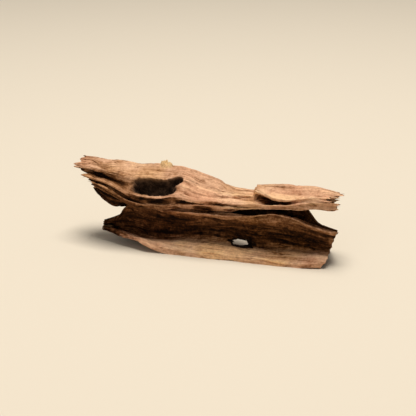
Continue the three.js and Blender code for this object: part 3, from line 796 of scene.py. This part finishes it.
# %% Faces of tubes and caps
def tube_faces(rows, n):
    """Quads between neighbouring rows and columns; the last column joins the first."""
    ids = np.arange(rows * n).reshape(rows, n)
    after = np.roll(ids, -1, 1)
    return np.stack([ids[:-1], after[:-1], after[1:], ids[1:]], -1).reshape(-1, 4)


def cap_faces(ids, flip):
    """Triangles of a cap's index grid, without those that have shrunk to a line."""
    a, b, c, d = ids[:-1, :-1], ids[:-1, 1:], ids[1:, 1:], ids[1:, :-1]
    tris = np.concatenate([np.stack([a, b, c], -1), np.stack([a, c, d], -1)]).reshape(-1, 3)
    if flip:
        tris = tris[:, ::-1]
    whole = (tris[:, 0] != tris[:, 1]) & (tris[:, 1] != tris[:, 2]) & (tris[:, 2] != tris[:, 0])
    return tris[whole]


upper_faces = tube_faces(*upper_skin.shape[:2])
lower_faces = tube_faces(*lower_skin.shape[:2])
print("quads along the limbs:", len(upper_faces), "and", len(lower_faces))

# %% [markdown]
# ## How weathered and how shaded each rail is drawn
#
# The colour of driftwood says where water and light reached it. Tops and edges are bleached to a
# pinkish tan, the hollow and the undersides stay dark brown. The same values carry painted light
# too: the panel, the crack, the web, the slots and the undersides are drawn darker for the shade
# that falls there, and the ledge and the lip, which the overhang shades, are drawn lighter. Each
# rail gets a value from 0, dark (damp wood and painted shade), to 1, bleached, at the left, in the
# middle and at the right; between rails it is blended.

# %% Weathering and painted shade from rail to rail
# Low values on the undersides, the slots and the rim are painted shade under the overhangs.
UPPER_BLEACH_AND_SHADE = {
    "back edge": (0.45, 0.48, 0.52), "back shoulder": (0.6, 0.66, 0.66), "crest": (0.72, 0.79, 0.82),
    "upper lip": (0.62, 0.86, 0.94), "valley": (0.3, 0.82, 0.84), "middle lip": (0.58, 0.74, 0.86),
    "middle slot": (0.2, 0.5, 0.72), "front ridge": (0.56, 0.63, 0.8), "rim": (0.36, 0.4, 0.56),
    "under front": (0.2, 0.16, 0.3), "under middle": (0.16, 0.14, 0.25),
    "under back": (0.28, 0.25, 0.34),
}
# Low values on the panel, the crack and the web are painted shade; high ones on the lip and ledge are
# partly painted light.
LOWER_BLEACH_AND_SHADE = {
    "lip edge": (0.55, 0.84, 0.74), "lip top": (0.84, 1.0, 0.86), "ledge": (0.78, 1.0, 0.84),
    "corner": (0.28, 0.5, 0.44), "panel low": (0.16, 0.15, 0.16), "panel middle": (0.24, 0.2, 0.22),
    "panel top": (0.32, 0.57, 0.5), "panel back": (0.2, 0.42, 0.4), "crack floor": (0.05, 0.24, 0.1),
    "web top": (0.16, 0.16, 0.3), "web back": (0.34, 0.36, 0.4), "back shoulder": (0.52, 0.56, 0.52),
    "back middle": (0.52, 0.56, 0.5), "back foot": (0.38, 0.42, 0.38), "under back": (0.2, 0.2, 0.2),
    "under middle": (0.2, 0.2, 0.2), "under front": (0.24, 0.3, 0.26),
}
BLEACH_AT = (-80, -15, 60)  # mm along the grain
print("weathering of", len(UPPER_BLEACH_AND_SHADE) + len(LOWER_BLEACH_AND_SHADE), "rails, each at x =", BLEACH_AT, "mm")

# %% Stains, painted shade and highlights, and pale places
# Stains and bleached patches that lie apart from the rails' own values, given like the holes. Some
# are painted light: shadow under the finger and the bar, shade in the slots and the left valley,
# and highlights on the crest, the finger and the panel's top edge. Then places where paler, yellower
# wood shows through, which also paint highlights on the finger, the bar and the front ridge.
UPPER_STAINS_SHADE_AND_HIGHLIGHTS = [
    # painted shadow under the finger's belly
    ("valley", 59, 0.6, 19, 6.8, -0.7, 0),
    # darker in the slot below the front lips: painted shade
    ("middle lip", -36, 1.2, 22, 2.4, -0.4, 0.02),
    ("middle slot", -48, 0, 20, 2.2, -0.2, 0.02),
    ("middle slot", -8, 0.8, 14, 1.8, -0.3, 0.02),
    ("middle slot", 13, 0.8, 10, 1.7, -0.32, 0.03),
    ("middle slot", 33, 1.2, 11, 1.6, -0.34, 0.03),
    ("upper lip", 44, 0, 3.4, 6, 0.1, 0),
    # paler on the finger's front: painted highlight
    ("upper lip", 66, -4, 24, 5, 0.2, 0),
    ("upper lip", 60, -13, 17, 2.4, -0.18, 0),
    ("upper lip", 96, -6, 10, 3, -0.1, 0),
    # darker under the bar: painted shade
    ("middle lip", 88, 2, 8, 1.6, -0.25, 0),
    # darker in the slot and valley between the left layers: painted shade
    ("upper lip", -98, 3, 12, 3, -0.2, 0),
    ("valley", -74, 0, 22, 4, -0.16, 0),
    # paler along the crest's edge at the left: painted highlight
    ("crest", -88, 3, 14, 2.4, 0.16, 0.02),
    ("upper lip", -78, -3, 22, 2.0, -0.16, 0.05),
]
UPPER_PALE_AND_HIGHLIGHTS = [
    # the finger's front, the bar's top and the front ridge: paler wood and painted highlights
    ("upper lip", 64, -3.5, 24, 4.5, 0.34, 0),
    ("middle lip", 92, 0.5, 14, 1.6, 0.3, 0),
    ("front ridge", 26, -0.5, 22, 1.2, 0.22, 0),
]
LOWER_STAINS_SHADE_AND_HIGHLIGHTS = [
    ("corner", -79, 0, 9, 7, -0.22, 0),
    ("lip top", -77, 0, 25, 7, -0.52, 0),
    ("lip edge", -70, 0, 16, 2.5, -0.15, 0),
    ("panel middle", 104, 0, 2.4, 16, 0.18, 0),
    ("panel middle", 84, 0, 22, 8, -0.08, 0),
    ("panel middle", -30, -3, 30, 5, -0.1, 0.05),
    # paler along the panel's top edge: painted highlight
    ("panel top", 2, 1.5, 42, 2.2, 0.2, 0),
    ("ledge", 70, 2, 26, 4, -0.1, 0),
    ("ledge", -36, -1, 16, 4, 0.14, 0),
]
print("stains:", len(UPPER_STAINS_SHADE_AND_HIGHLIGHTS), "above and", len(LOWER_STAINS_SHADE_AND_HIGHLIGHTS), "below")

# %% Blend the weathering and painted shade
def bleached_and_shaded(skin, bleach_and_shade):
    """The value of each grid point: along a rail by its three values, around by the next rails."""
    x, n = skin.points[..., 0], skin.points.shape[1]
    names = sorted(skin.columns, key=skin.columns.get)
    at = np.array([skin.columns[name] for name in names] + [n])
    values = np.stack([np.interp(x, BLEACH_AT, bleach_and_shade[name]) for name in names + names[:1]], -1)
    column = np.arange(n)
    i = np.clip(np.searchsorted(at, column, "right") - 1, 0, len(names) - 1)
    f = ease((column - at[i]) / (at[i + 1] - at[i]), 0, 1)
    rows = np.arange(len(x))[:, None]
    return values[rows, column, i] * (1 - f) + values[rows, column, i + 1] * f


upper_bleach_and_shade = bleached_and_shaded(upper, UPPER_BLEACH_AND_SHADE) + spots(upper, UPPER_STAINS_SHADE_AND_HIGHLIGHTS, upper_noise)
lower_bleach_and_shade = bleached_and_shaded(lower, LOWER_BLEACH_AND_SHADE) + spots(lower, LOWER_STAINS_SHADE_AND_HIGHLIGHTS, lower_noise)
upper_fresh_and_highlights = np.maximum(upper_fresh_and_highlights, spots(upper, UPPER_PALE_AND_HIGHLIGHTS, upper_noise))
print("mean weathering:", upper_bleach_and_shade.mean().round(2), "and", lower_bleach_and_shade.mean().round(2))

# %% [markdown]
# ## The two limbs as meshes
#
# The arrays go into Blender in one call each. The points of the caps were not on the grid, so their
# grain runs straight into the wood: fibres seen end on. They are drawn darker than the skin around
# them, partly for end grain and partly as painted shade on the breaks, and darkest between the
# strands, which is painted shade.

# %% Meshes and what they hold
SHARP = radians(70)  # edges bent by more than this are drawn sharp


def add_object(name, data):
    """An object in the scene with this mesh, light or camera."""
    made = bpy.data.objects.new(name, data)
    bpy.context.scene.collection.objects.link(made)
    return made


def make_mesh(name, points, faces, numbers):
    """An object at the origin from points in mm by the rails' mark, with an attribute per array."""
    mesh = bpy.data.meshes.new(name)
    mesh.from_pydata(((points + MARK) * MM).tolist(), [], faces)
    for key, values in numbers.items():
        kind, field = ("FLOAT_VECTOR", "vector") if values.ndim == 2 else ("FLOAT", "value")
        mesh.attributes.new(key, kind, "POINT").data.foreach_set(field, values.ravel())
    mesh.shade_smooth()
    mesh.set_sharp_from_angle(angle=SHARP)
    return add_object(name, mesh)


def read_numbers(mesh, key):
    """A vertex attribute as an array with a row for each vertex."""
    stored = mesh.attributes[key]
    width, field = (3, "vector") if stored.data_type == "FLOAT_VECTOR" else (1, "value")
    values = np.zeros(len(mesh.vertices) * width)
    stored.data.foreach_get(field, values)
    return values.reshape(-1, 3) if width == 3 else values


def triangles(mesh):
    """The mesh's faces as triangles, a row of three vertices for each."""
    mesh.calc_loop_triangles()
    corners = np.zeros(len(mesh.loop_triangles) * 3, int)
    mesh.loop_triangles.foreach_get("vertices", corners)
    return corners.reshape(-1, 3)


def litres(piece):
    """The volume that a piece's faces close: a sixth of the sum of a . (b x c) over triangles.
    It is above nought only where the faces point outwards."""
    corners = read_numbers(piece.data, "position")[triangles(piece.data)]
    a, b, c = np.moveaxis(corners, 1, 0)
    return 1000 * np.sum(a * np.cross(b, c)) / 6


print("edges are sharp from", round(SHARP, 2), "radians")

# %% Make the limbs
UPPER_END, LOWER_END = 0.36, 0.26  # how light the broken wood is drawn: end grain, and painted shade on the breaks
END_GRAIN = np.array([0.25, 1, 1])  # grain seen end on hardly changes along x


def make_limb(name, points, faces, caps, proud, grain, numbers, end_bleach_and_shade):
    """The closed limb: its grid's numbers, and for the points of the caps grain that is seen end
    on, and weathering and height that follow how far they stand out: lowest between the strands,
    which is painted shade."""
    inner = points[grain[..., 0].size:]
    nought = 0 * proud
    # cap points that lie back between the strands are drawn darker: painted shade
    ends = {
        "bleach_and_shade": end_bleach_and_shade + 0.07 * proud, "height": 0.5 * proud, "rot": nought, "fresh_and_highlight": nought,
    }
    given = {"grain": np.concatenate([grain.reshape(-1, 3), inner * END_GRAIN])}
    for key, values in numbers.items():
        given[key] = np.concatenate([values.ravel(), ends[key]])
    given["skin"] = np.ones(len(points))
    tris = np.concatenate([cap_faces(ids, flip) for ids, flip in zip(caps, (False, True))])
    limb = make_mesh(name, points, faces.tolist() + tris.tolist(), given)
    print(name, "has", 2 * len(faces) + len(tris), "triangles and", round(litres(limb), 4), "litres")
    return limb


no_rot = np.zeros(lower_bleach_and_shade.shape)
upper_numbers = {
    "bleach_and_shade": upper_bleach_and_shade, "height": upper_relief - upper_eaten,
    "rot": upper_dark, "fresh_and_highlight": upper_fresh_and_highlights,
}
lower_numbers = {
    "bleach_and_shade": lower_bleach_and_shade, "height": lower_relief - lower_eaten, "rot": no_rot, "fresh_and_highlight": no_rot,
}
upper_limb = make_limb("upper_limb_wood", upper_points, upper_faces, upper_caps, upper_proud,
                       upper_grain, upper_numbers, UPPER_END)
lower_limb = make_limb("lower_limb_wood", lower_points, lower_faces, lower_caps, lower_proud,
                       lower_grain, lower_numbers, LOWER_END)

# %% [markdown]
# ## The window and the socket
#
# Where the ledge meets the wall of the hollow, the wood is worn right through. This is a real hole
# with light behind it, so it is cut: an egg with a ragged surface, which narrows towards the back, is
# taken out of the lower limb and the modifier is applied. A long thin egg taken out of the upper
# limb's right break leaves the dark socket between its skin and its lower lip. The vertices that a
# cut makes carry no numbers yet, so they are drawn near black: painted shade on the walls of the
# window and the socket. A boolean can also leave fins, two faces back to back with no wood between
# them, so the limb is made again without them.

# %% An egg to cut with
EGG_ROWS, EGG_SIDES = 28, 56


def end_fans(rows, n):
    """Triangles that close both ends of a tube on the two points that follow its grid's."""
    j = np.arange(n)
    k, last = (j + 1) % n, (rows - 1) * n
    first_fan = np.stack([0 * j + rows * n, k, j], -1)
    return np.concatenate([first_fan, np.stack([0 * j + rows * n + 1, last + j, last + k], -1)])


def egg_surface(centre, half, tilt=0.0, lean=0.0, narrowing=0.0):
    """Points of an ellipsoid and its faces. Its radius is made ragged by noise, 0.2 of it broad and
    0.13 fine, its sections across y are 1 - narrowing y / half length as wide as an ellipsoid's,
    it is turned about X, and leans by so many mm in x for each mm in y."""
    high = np.linspace(-1, 1, EGG_ROWS + 2)[1:-1, None] * pi / 2
    turn = np.arange(EGG_SIDES)[None, :] * 2 * pi / EGG_SIDES
    flat = np.cos(high)
    ball = np.stack([flat * np.cos(turn), np.sin(high) + 0 * turn, -flat * np.sin(turn)], -1)
    ball = np.concatenate([ball.reshape(-1, 3), [[0, -1, 0], [0, 1, 0]]])
    ball *= 1 + 0.2 * wood_noise(ball * 2.3 + 4)[:, None] + 0.13 * wood_noise(ball * 5.2)[:, None]
    ball[:, ::2] *= 1 - narrowing * ball[:, 1:2]
    x, y, z = (ball * half).T
    c, s = np.cos(tilt), np.sin(tilt)
    points = np.stack([x + lean * y, c * y - s * z, s * y + c * z], -1) + centre
    faces = tube_faces(EGG_ROWS, EGG_SIDES).tolist() + end_fans(EGG_ROWS, EGG_SIDES).tolist()
    return points, faces


print("an egg has", len(egg_surface(np.zeros(3), np.ones(3))[0]), "points")

# %% Cut the window and the socket
WINDOW = {
    "centre": np.array([33, -14.5, 9.8]), "half": np.array([10.5, 14, 3.6]), "tilt": -0.38,
    "lean": -0.36, "narrowing": 0.45,
}
SOCKET = {"centre": np.array([110, -16.5, 53.4]), "half": np.array([12, 5.2, 2.6])}
CUT_SHADE_NUMBERS = {"bleach_and_shade": 0.06, "height": -0.4, "rot": 0.3, "fresh_and_highlight": 0.0}  # near black: painted shade on the cut walls


def cut_out(limb, egg):
    """The limb without the egg, by an applied boolean for closed meshes. New vertices get near black
    numbers, painted shade on the walls of the cut, and grain along x. The faces are made again as
    triangles without fins: where two lie back to back on the same three corners, neither is kept."""
    cutter = make_mesh("cutter", *egg_surface(**egg), {})
    bpy.context.view_layer.objects.active = limb
    cut = limb.modifiers.new("cut", "BOOLEAN")
    cut.operation, cut.solver, cut.object = "DIFFERENCE", "MANIFOLD", cutter
    bpy.ops.object.modifier_apply(modifier=cut.name)
    name, mesh = limb.name, limb.data
    numbers = {key: read_numbers(mesh, key) for key in ("skin", "grain", *CUT_SHADE_NUMBERS)}
    points = read_numbers(mesh, "position") / MM - MARK
    new = numbers["skin"] < 0.5
    for key, value in CUT_SHADE_NUMBERS.items():
        numbers[key][new] = value
    numbers["grain"][new] = points[new]

    tris = triangles(mesh)
    _, kind, count = np.unique(np.sort(tris, 1), axis=0, return_inverse=True, return_counts=True)
    kept = tris[count[kind.ravel()] == 1]
    used = np.unique(kept)
    bpy.data.objects.remove(cutter)
    bpy.data.objects.remove(limb)
    bpy.data.meshes.remove(mesh)
    numbers = {key: values[used] for key, values in numbers.items()}
    made = make_mesh(name, points[used], np.searchsorted(used, kept).tolist(), numbers)
    print(name, "has", new.sum(), "new vertices at its cut, loses", len(tris) - len(kept),
          "faces of fins and keeps", round(litres(made), 4), "litres")
    return made


lower_limb, upper_limb = cut_out(lower_limb, WINDOW), cut_out(upper_limb, SOCKET)

# %% [markdown]
# ## Splinters
#
# At a break the hardest fibres stand out as splinters. Each is a thin tapered spindle along a curved
# line, rooted inside the wood. There are dozens of them, so each has few faces, and those of one
# break are one mesh.

# %% Splinters at the breaks
SPLINTER_ROWS, SPLINTER_SIDES = 7, 6
ROOTED = 7  # mm of a splinter that lie inside the wood
INWARD = (0.06, 0.26)  # its root's place, as a share of the way from the skin to the break's middle
HALF_WIDTH = (0.4, 1.3)  # mm
FLATNESS = 0.45  # a splinter's thickness as a share of its width
SPLINTER_NUMBERS = {"height": 0.2, "rot": 0.0, "fresh_and_highlight": 0.15}
BREAKS = [  # name, ring, side, count, mm it stands out at most, seed, weathering
    ("upper_left_splinters", upper_skin[0], -1, 30, 4, 71, 0.6),
    ("upper_right_splinters", upper_skin[-1], 1, 18, 3.5, 73, 0.75),
    ("lower_left_splinters", lower_skin[0], -1, 8, 2, 79, 0.14),
    ("lower_right_splinters", lower_skin[-1], 1, 8, 1, 83, 0.36),
]


def splinters(name, ring, side, count, longest, seed, bleach_and_shade):
    """Spindles from points of a break's ring: the line p + t (length d) + t^2 bend, and a flat
    cross-section whose width is w (1 - t)^0.6 at the share t of the length."""
    random = np.random.default_rng(seed)
    root = ring[random.choice(len(ring), count, replace=False)]
    root = root + (ring.mean(0) - root) * random.uniform(*INWARD, (count, 1))
    root[:, 0] -= side * ROOTED
    length = ROOTED + longest * random.uniform(0.15, 1, (count, 1)) ** 2
    d = np.stack([side * np.ones(count), *random.normal(0, 0.07, (2, count))], -1)
    bend = random.normal(0, 0.6, (count, 3)) * np.array([0, 1, 1])
    width = random.uniform(*HALF_WIDTH, (count, 1, 1))
    t = np.linspace(0, 1, SPLINTER_ROWS + 1)[None, :-1, None]
    line = root[:, None] + t * (length * d)[:, None] + t * t * bend[:, None]
    turn = np.arange(SPLINTER_SIDES) * 2 * pi / SPLINTER_SIDES
    lean = random.uniform(0, pi, (count, 1, 1))
    a, b = np.cos(turn) * width, FLATNESS * np.sin(turn) * width
    across = np.stack([np.zeros_like(a + lean), a * np.cos(lean) - b * np.sin(lean),
                       a * np.sin(lean) + b * np.cos(lean)], -1)
    body = line[:, :, None] + across * ((1 - t) ** 0.6)[..., None]
    start, tip = root - d * 0.5, root + length * d + bend
    body = body.reshape(count, -1, 3)
    points = np.concatenate([body, start[:, None], tip[:, None]], 1)
    each = points.shape[1]
    sides, ends = tube_faces(SPLINTER_ROWS, SPLINTER_SIDES), end_fans(SPLINTER_ROWS, SPLINTER_SIDES)
    if side < 0:
        sides, ends = sides[:, ::-1], ends[:, ::-1]
    offset = (np.arange(count) * each)[:, None, None]
    faces = (sides + offset).reshape(-1, 4).tolist() + (ends + offset).reshape(-1, 3).tolist()
    points = points.reshape(-1, 3)
    points[:, 2] = np.maximum(points[:, 2], 0)
    own = np.repeat(random.normal(bleach_and_shade, 0.12, count), each)
    numbers = {"grain": points, "bleach_and_shade": own}
    numbers.update({key: 0 * own + value for key, value in SPLINTER_NUMBERS.items()})
    return make_mesh(name, points, faces, numbers)


all_splinters = [splinters(*given) for given in BREAKS]
print("splinters:", {piece.name: round(1e6 * litres(piece)) for piece in all_splinters}, "cubic mm")

# %% [markdown]
# ## Driftwood's finish
#
# One finish serves the whole piece, because it is one piece of wood. Its colour comes from a single
# ramp, from wet black-brown to bleached tan, and most things only move a point along that ramp: the
# rail it lies on, which also carries painted shade in the hollow and under the overhangs; its height
# on a rib, which paints shade in the furrows and holes and lightens the rib tops; streaks along the
# grain; and fine checks, drawn darker as painted shade. That keeps the colours those of one wood. The
# streaks are noise on the grain coordinates, which are in millimetres. Over it go a faint warm and
# cool tint, fresh wood where the nub was torn, whose pale colour also paints highlights on the
# finger, the bar and the front ridge, and the grey-brown crumble of rot in the knot. Dry wood has
# hardly any sheen, so the specular level is low.

# %% Node helpers
def add_node(tree, kind, inputs=None, **settings):
    """A node with its settings, and each input set to a value or linked from a socket."""
    node = tree.nodes.new(kind)
    for key, value in settings.items():
        setattr(node, key, value)
    for key, value in (inputs or {}).items():
        if isinstance(value, bpy.types.NodeSocket):
            tree.links.new(value, node.inputs[key])
        else:
            node.inputs[key].default_value = value
    return node


def calc(tree, operation, a, b=0.0, c=0.0):
    """One Math node."""
    return add_node(tree, "ShaderNodeMath", {0: a, 1: b, 2: c}, operation=operation).outputs[0]


def noise_node(tree, vector, scale, detail, rough=0.5):
    """Noise about nought, read at the vector."""
    inputs = {"Vector": vector, "Scale": scale, "Detail": detail, "Roughness": rough}
    noise = add_node(tree, "ShaderNodeTexNoise", inputs)
    return calc(tree, "SUBTRACT", noise.outputs["Fac"], 0.5)


def streaks(tree, grain, along, across, detail, rough, shift):
    """Noise about nought whose cells are along mm long and across mm wide."""
    scale = (1 / along, 1 / across, 1 / across)
    scaled = add_node(tree, "ShaderNodeVectorMath", {0: grain, 1: scale}, operation="MULTIPLY")
    place = {0: scaled.outputs[0], 1: (shift, shift, shift)}
    moved = add_node(tree, "ShaderNodeVectorMath", place, operation="ADD")
    return noise_node(tree, moved.outputs[0], 1.0, detail, rough)


def specks(tree, place, size, detail):
    """Noise about nought whose cells are so many mm wide in every direction."""
    return noise_node(tree, place, 1 / (size * MM), detail)


def smooth_step(tree, value, start, end):
    """0 where the value is at start and 1 where it is at end, smoothly between."""
    inputs = {"Value": value, "From Min": start, "From Max": end}
    kind = "ShaderNodeMapRange"
    return add_node(tree, kind, inputs, interpolation_type="SMOOTHSTEP").outputs[0]


def linear(c):
    """The linear value of an sRGB channel from 0 to 255."""
    c = c / 255
    return c / 12.92 if c < 0.04045 else ((c + 0.055) / 1.055) ** 2.4


def ramp(tree, value, stops):
    """A colour ramp through (place, sRGB colour in 0 to 255) stops."""
    node = add_node(tree, "ShaderNodeValToRGB", {"Fac": value})
    elements = node.color_ramp.elements
    while len(elements) < len(stops):
        elements.new(0.5)
    for element, (place, colour) in zip(elements, stops):
        element.position = place
        element.color = (*map(linear, colour), 1)
    return node.outputs["Color"]


def blend_colours(tree, kind, amount, a, b):
    """Mixes two colours by an amount. The Mix node's colour inputs are its numbers 6 and 7."""
    inputs = {0: amount, 6: a, 7: b}
    return add_node(tree, "ShaderNodeMix", inputs, data_type="RGBA", blend_type=kind).outputs[2]


def new_material(name):
    """A material, its node tree and its shader."""
    made = bpy.data.materials.new(name)
    made.use_nodes = True
    return made, made.node_tree, made.node_tree.nodes["Principled BSDF"]


print("helpers ready; mid grey in linear light:", round(linear(128), 3))

# %% Colours and amounts
WOOD_RAMP = [
    (0.0, (25, 14, 8)), (0.18, (66, 39, 20)), (0.36, (114, 75, 45)), (0.56, (170, 125, 90)),
    (0.74, (206, 160, 126)), (0.88, (225, 180, 143)), (1.0, (246, 203, 160)),
]
ROTTEN_RAMP = [(0.2, (30, 21, 16)), (0.5, (66, 49, 38)), (0.8, (108, 82, 62))]
TINT = [(0.36, (255, 238, 232)), (0.5, (255, 251, 248)), (0.64, (255, 248, 224))]
# pale fresh wood, also used as painted highlight
FRESH_WOOD_AND_HIGHLIGHT = (234, 197, 143)
STREAKS = {  # noises: mm along and across the grain, detail, roughness and a shift
    "broad": (42, 4.2, 2, 0.55, 0.0),
    "narrow": (22, 1.5, 2, 0.6, 7.3),
    "fibre": (8, 0.42, 3, 0.7, 13.1),
    "line": (34, 2.6, 1, 0.5, 21.7),
}
SPECKS = {"patch": (26, 2), "speck": (1.6, 2), "mottle": (4.5, 3), "hue": (48, 3)}  # mm and detail
# height lightens rib tops and darkens furrows and holes, and check darkens fine cracks: painted shade
# and highlight
IN_COLOUR = {  # how far each part moves a point along the wood's ramp
    "broad": 0.68, "narrow": 0.5, "fibre": 0.4, "speck": 0.42, "mottle": 0.38, "height": 0.11,
    "check": -0.28,
}
IN_BUMP = {"broad": 0.6, "narrow": 0.8, "fibre": 0.7, "check": -0.5}  # less where it is rotten
IN_CRUMBLE = {"speck": 0.45, "mottle": 0.4}  # bump everywhere, rotten or not
IN_DECAY = {"speck": 0.9, "mottle": 1.2}  # the rotten ramp
CHECK_LINE, CHECKED = (0.022, 0.0), (-0.08, 0.12)  # a check's edge and middle; patches with checks
TINTED, TORN_AND_HIGHLIGHT = 0.85, 0.9  # how strongly the tint, and the fresh wood with its painted highlights, show
ROUGHNESS = {"To Min": 0.74, "To Max": 0.92}
print("the wood's ramp has", len(WOOD_RAMP), "stops, and", len(IN_COLOUR), "parts move along it")

# %% The wood material
def driftwood(name):
    """The finish: value = weathering with painted shade + streaks + height on the ribs - checks,
    through the ramp; height and checks paint shade in furrows, holes and cracks.
    """
    made, tree, shader = new_material(name)

    def number(key):
        return add_node(tree, "ShaderNodeAttribute", attribute_name=key).outputs["Fac"]

    def times(a, b):
        return calc(tree, "MULTIPLY", a, b)

    def add_parts(value, amounts):
        for key, amount in amounts.items():
            value = calc(tree, "MULTIPLY_ADD", part[key], amount, value)
        return value

    grain = add_node(tree, "ShaderNodeAttribute", attribute_name="grain").outputs["Vector"]
    place = add_node(tree, "ShaderNodeTexCoord").outputs["Object"]
    part = {key: streaks(tree, grain, *given) for key, given in STREAKS.items()}
    part.update({key: specks(tree, place, *given) for key, given in SPECKS.items()})
    line = smooth_step(tree, calc(tree, "ABSOLUTE", part["line"]), *CHECK_LINE)
    part["check"] = times(line, smooth_step(tree, part["patch"], *CHECKED))
    part["height"], rot, fresh_and_highlight = number("height"), number("rot"), number("fresh_and_highlight")

    value = add_parts(number("bleach_and_shade"), IN_COLOUR)
    tint = ramp(tree, calc(tree, "ADD", part["hue"], 0.5), TINT)
    colour = blend_colours(tree, "MULTIPLY", TINTED, ramp(tree, value, WOOD_RAMP), tint)
    # the fresh wood's colour also paints highlights on the finger, the bar and the front ridge
    torn = times(add_parts(fresh_and_highlight, {"fibre": 0.8}), calc(tree, "GREATER_THAN", fresh_and_highlight, 0.02))
    colour = blend_colours(tree, "MIX", times(torn, TORN_AND_HIGHLIGHT), colour, (*map(linear, FRESH_WOOD_AND_HIGHLIGHT), 1))
    decay = add_parts(0.5, IN_DECAY)
    rotten = times(add_parts(rot, {"speck": 0.3}), calc(tree, "GREATER_THAN", rot, 0.01))
    colour = blend_colours(tree, "MIX", rotten, colour, ramp(tree, decay, ROTTEN_RAMP))
    tree.links.new(colour, shader.inputs["Base Color"])

    dry = add_node(tree, "ShaderNodeMapRange", {"Value": value, **ROUGHNESS})
    tree.links.new(dry.outputs[0], shader.inputs["Roughness"])
    shader.inputs["Specular IOR Level"].default_value = 0.03

    height = times(add_parts(0.0, IN_BUMP), calc(tree, "SUBTRACT", 1.0, rot))
    height = add_parts(height, IN_CRUMBLE)
    bump = add_node(tree, "ShaderNodeBump", {"Height": height, "Strength": 0.9, "Distance": 0.9 * MM})
    tree.links.new(bump.outputs[0], shader.inputs["Normal"])
    return made


weathered = driftwood("weathered_wood")
pieces = (upper_limb, lower_limb, *all_splinters)
for piece in pieces:
    piece.data.materials.clear()
    piece.data.materials.append(weathered)
print("one finish on", len(pieces), "pieces")

# %% [markdown]
# ## Onto the frame
#
# Both limbs and the splinters are fixed to the one body. The fine limbs stand for the CAD model's
# faceted ones, which are then not shown.

# %% Fix the pieces to the frame
limbs = (upper_limb, "upper_limb", "weathered_wood"), (lower_limb, "lower_limb", "hollow_wood")
for piece, node, slot in limbs:
    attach(piece, "root")
    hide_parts(node)
for piece in all_splinters:
    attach(piece, "root")
print("pieces:", [piece.name for piece in pieces])

# %% [markdown]
# ## Floor, light and camera
#
# The floor is plain and pale. The wood was lit from straight above, which leaves the hollow dark
# under the overhang, so the main light is a broad soft one overhead. A weak light from the front
# keeps the dark wood readable. The camera looks as the photograph's did, from 15 degrees to the right
# and 21 degrees up, with a long lens that fills the frame with the wood.

# %% Floor
FLOOR_CORNERS = [(-4, -2, 0), (4, -2, 0), (4, 8, 0), (-4, 8, 0)]  # metres
floor_mesh = bpy.data.meshes.new("floor")
floor_mesh.from_pydata(FLOOR_CORNERS, [], [(0, 1, 2, 3)])
floor = add_object("floor", floor_mesh)
paper, _, paper_shader = new_material("pale_floor")
paper_shader.inputs["Base Color"].default_value = (*map(linear, (224, 211, 190)), 1)
paper_shader.inputs["Roughness"].default_value = 0.9
paper_shader.inputs["Specular IOR Level"].default_value = 0.2
floor_mesh.materials.append(paper)
print("floor at z = 0")

# %% Light
def aim(made, place, target):
    """Puts a light or a camera at a place in metres and turns it towards a target."""
    made.location = place
    made.rotation_mode = "QUATERNION"
    made.rotation_quaternion = (Vector(target) - Vector(place)).to_track_quat("-Z", "Y")


def soft_light(name, place, target, size, watts, colour):
    """A square area light, its size in metres."""
    lamp = bpy.data.lights.new(name, "AREA")
    lamp.size, lamp.energy, lamp.color = size, watts, colour
    aim(add_object(name, lamp), place, target)


soft_light("overhead_lamp", (0.04, 0.12, 2.2), (0, 0, 0), 1.1, 52.0, (1.0, 0.985, 0.96))
soft_light("front_fill", (-0.5, -1.6, 0.7), (0, 0, 0.03), 1.2, 3.4, (1.0, 0.98, 0.95))
world = bpy.data.worlds.new("studio")
world.use_nodes = True
world.node_tree.nodes["Background"].inputs["Color"].default_value = (1.0, 0.985, 0.96, 1)
world.node_tree.nodes["Background"].inputs["Strength"].default_value = 0.22
bpy.context.scene.world = world
bpy.context.scene.view_settings.view_transform = "Standard"
print("lights:", [o.name for o in bpy.data.objects if o.type == "LIGHT"])

# %% Camera
CAMERA_PLACE, CAMERA_AIM = (0.20915, -0.77045, 0.3373), (0.0, 0.0, 0.031)
camera_data = bpy.data.cameras.new("camera")
camera_data.lens = 92  # mm
camera = add_object("camera", camera_data)
aim(camera, CAMERA_PLACE, CAMERA_AIM)
bpy.context.scene.camera = camera
print("camera at", CAMERA_PLACE, "m")

# %% Finish
bpy.context.view_layer.update()
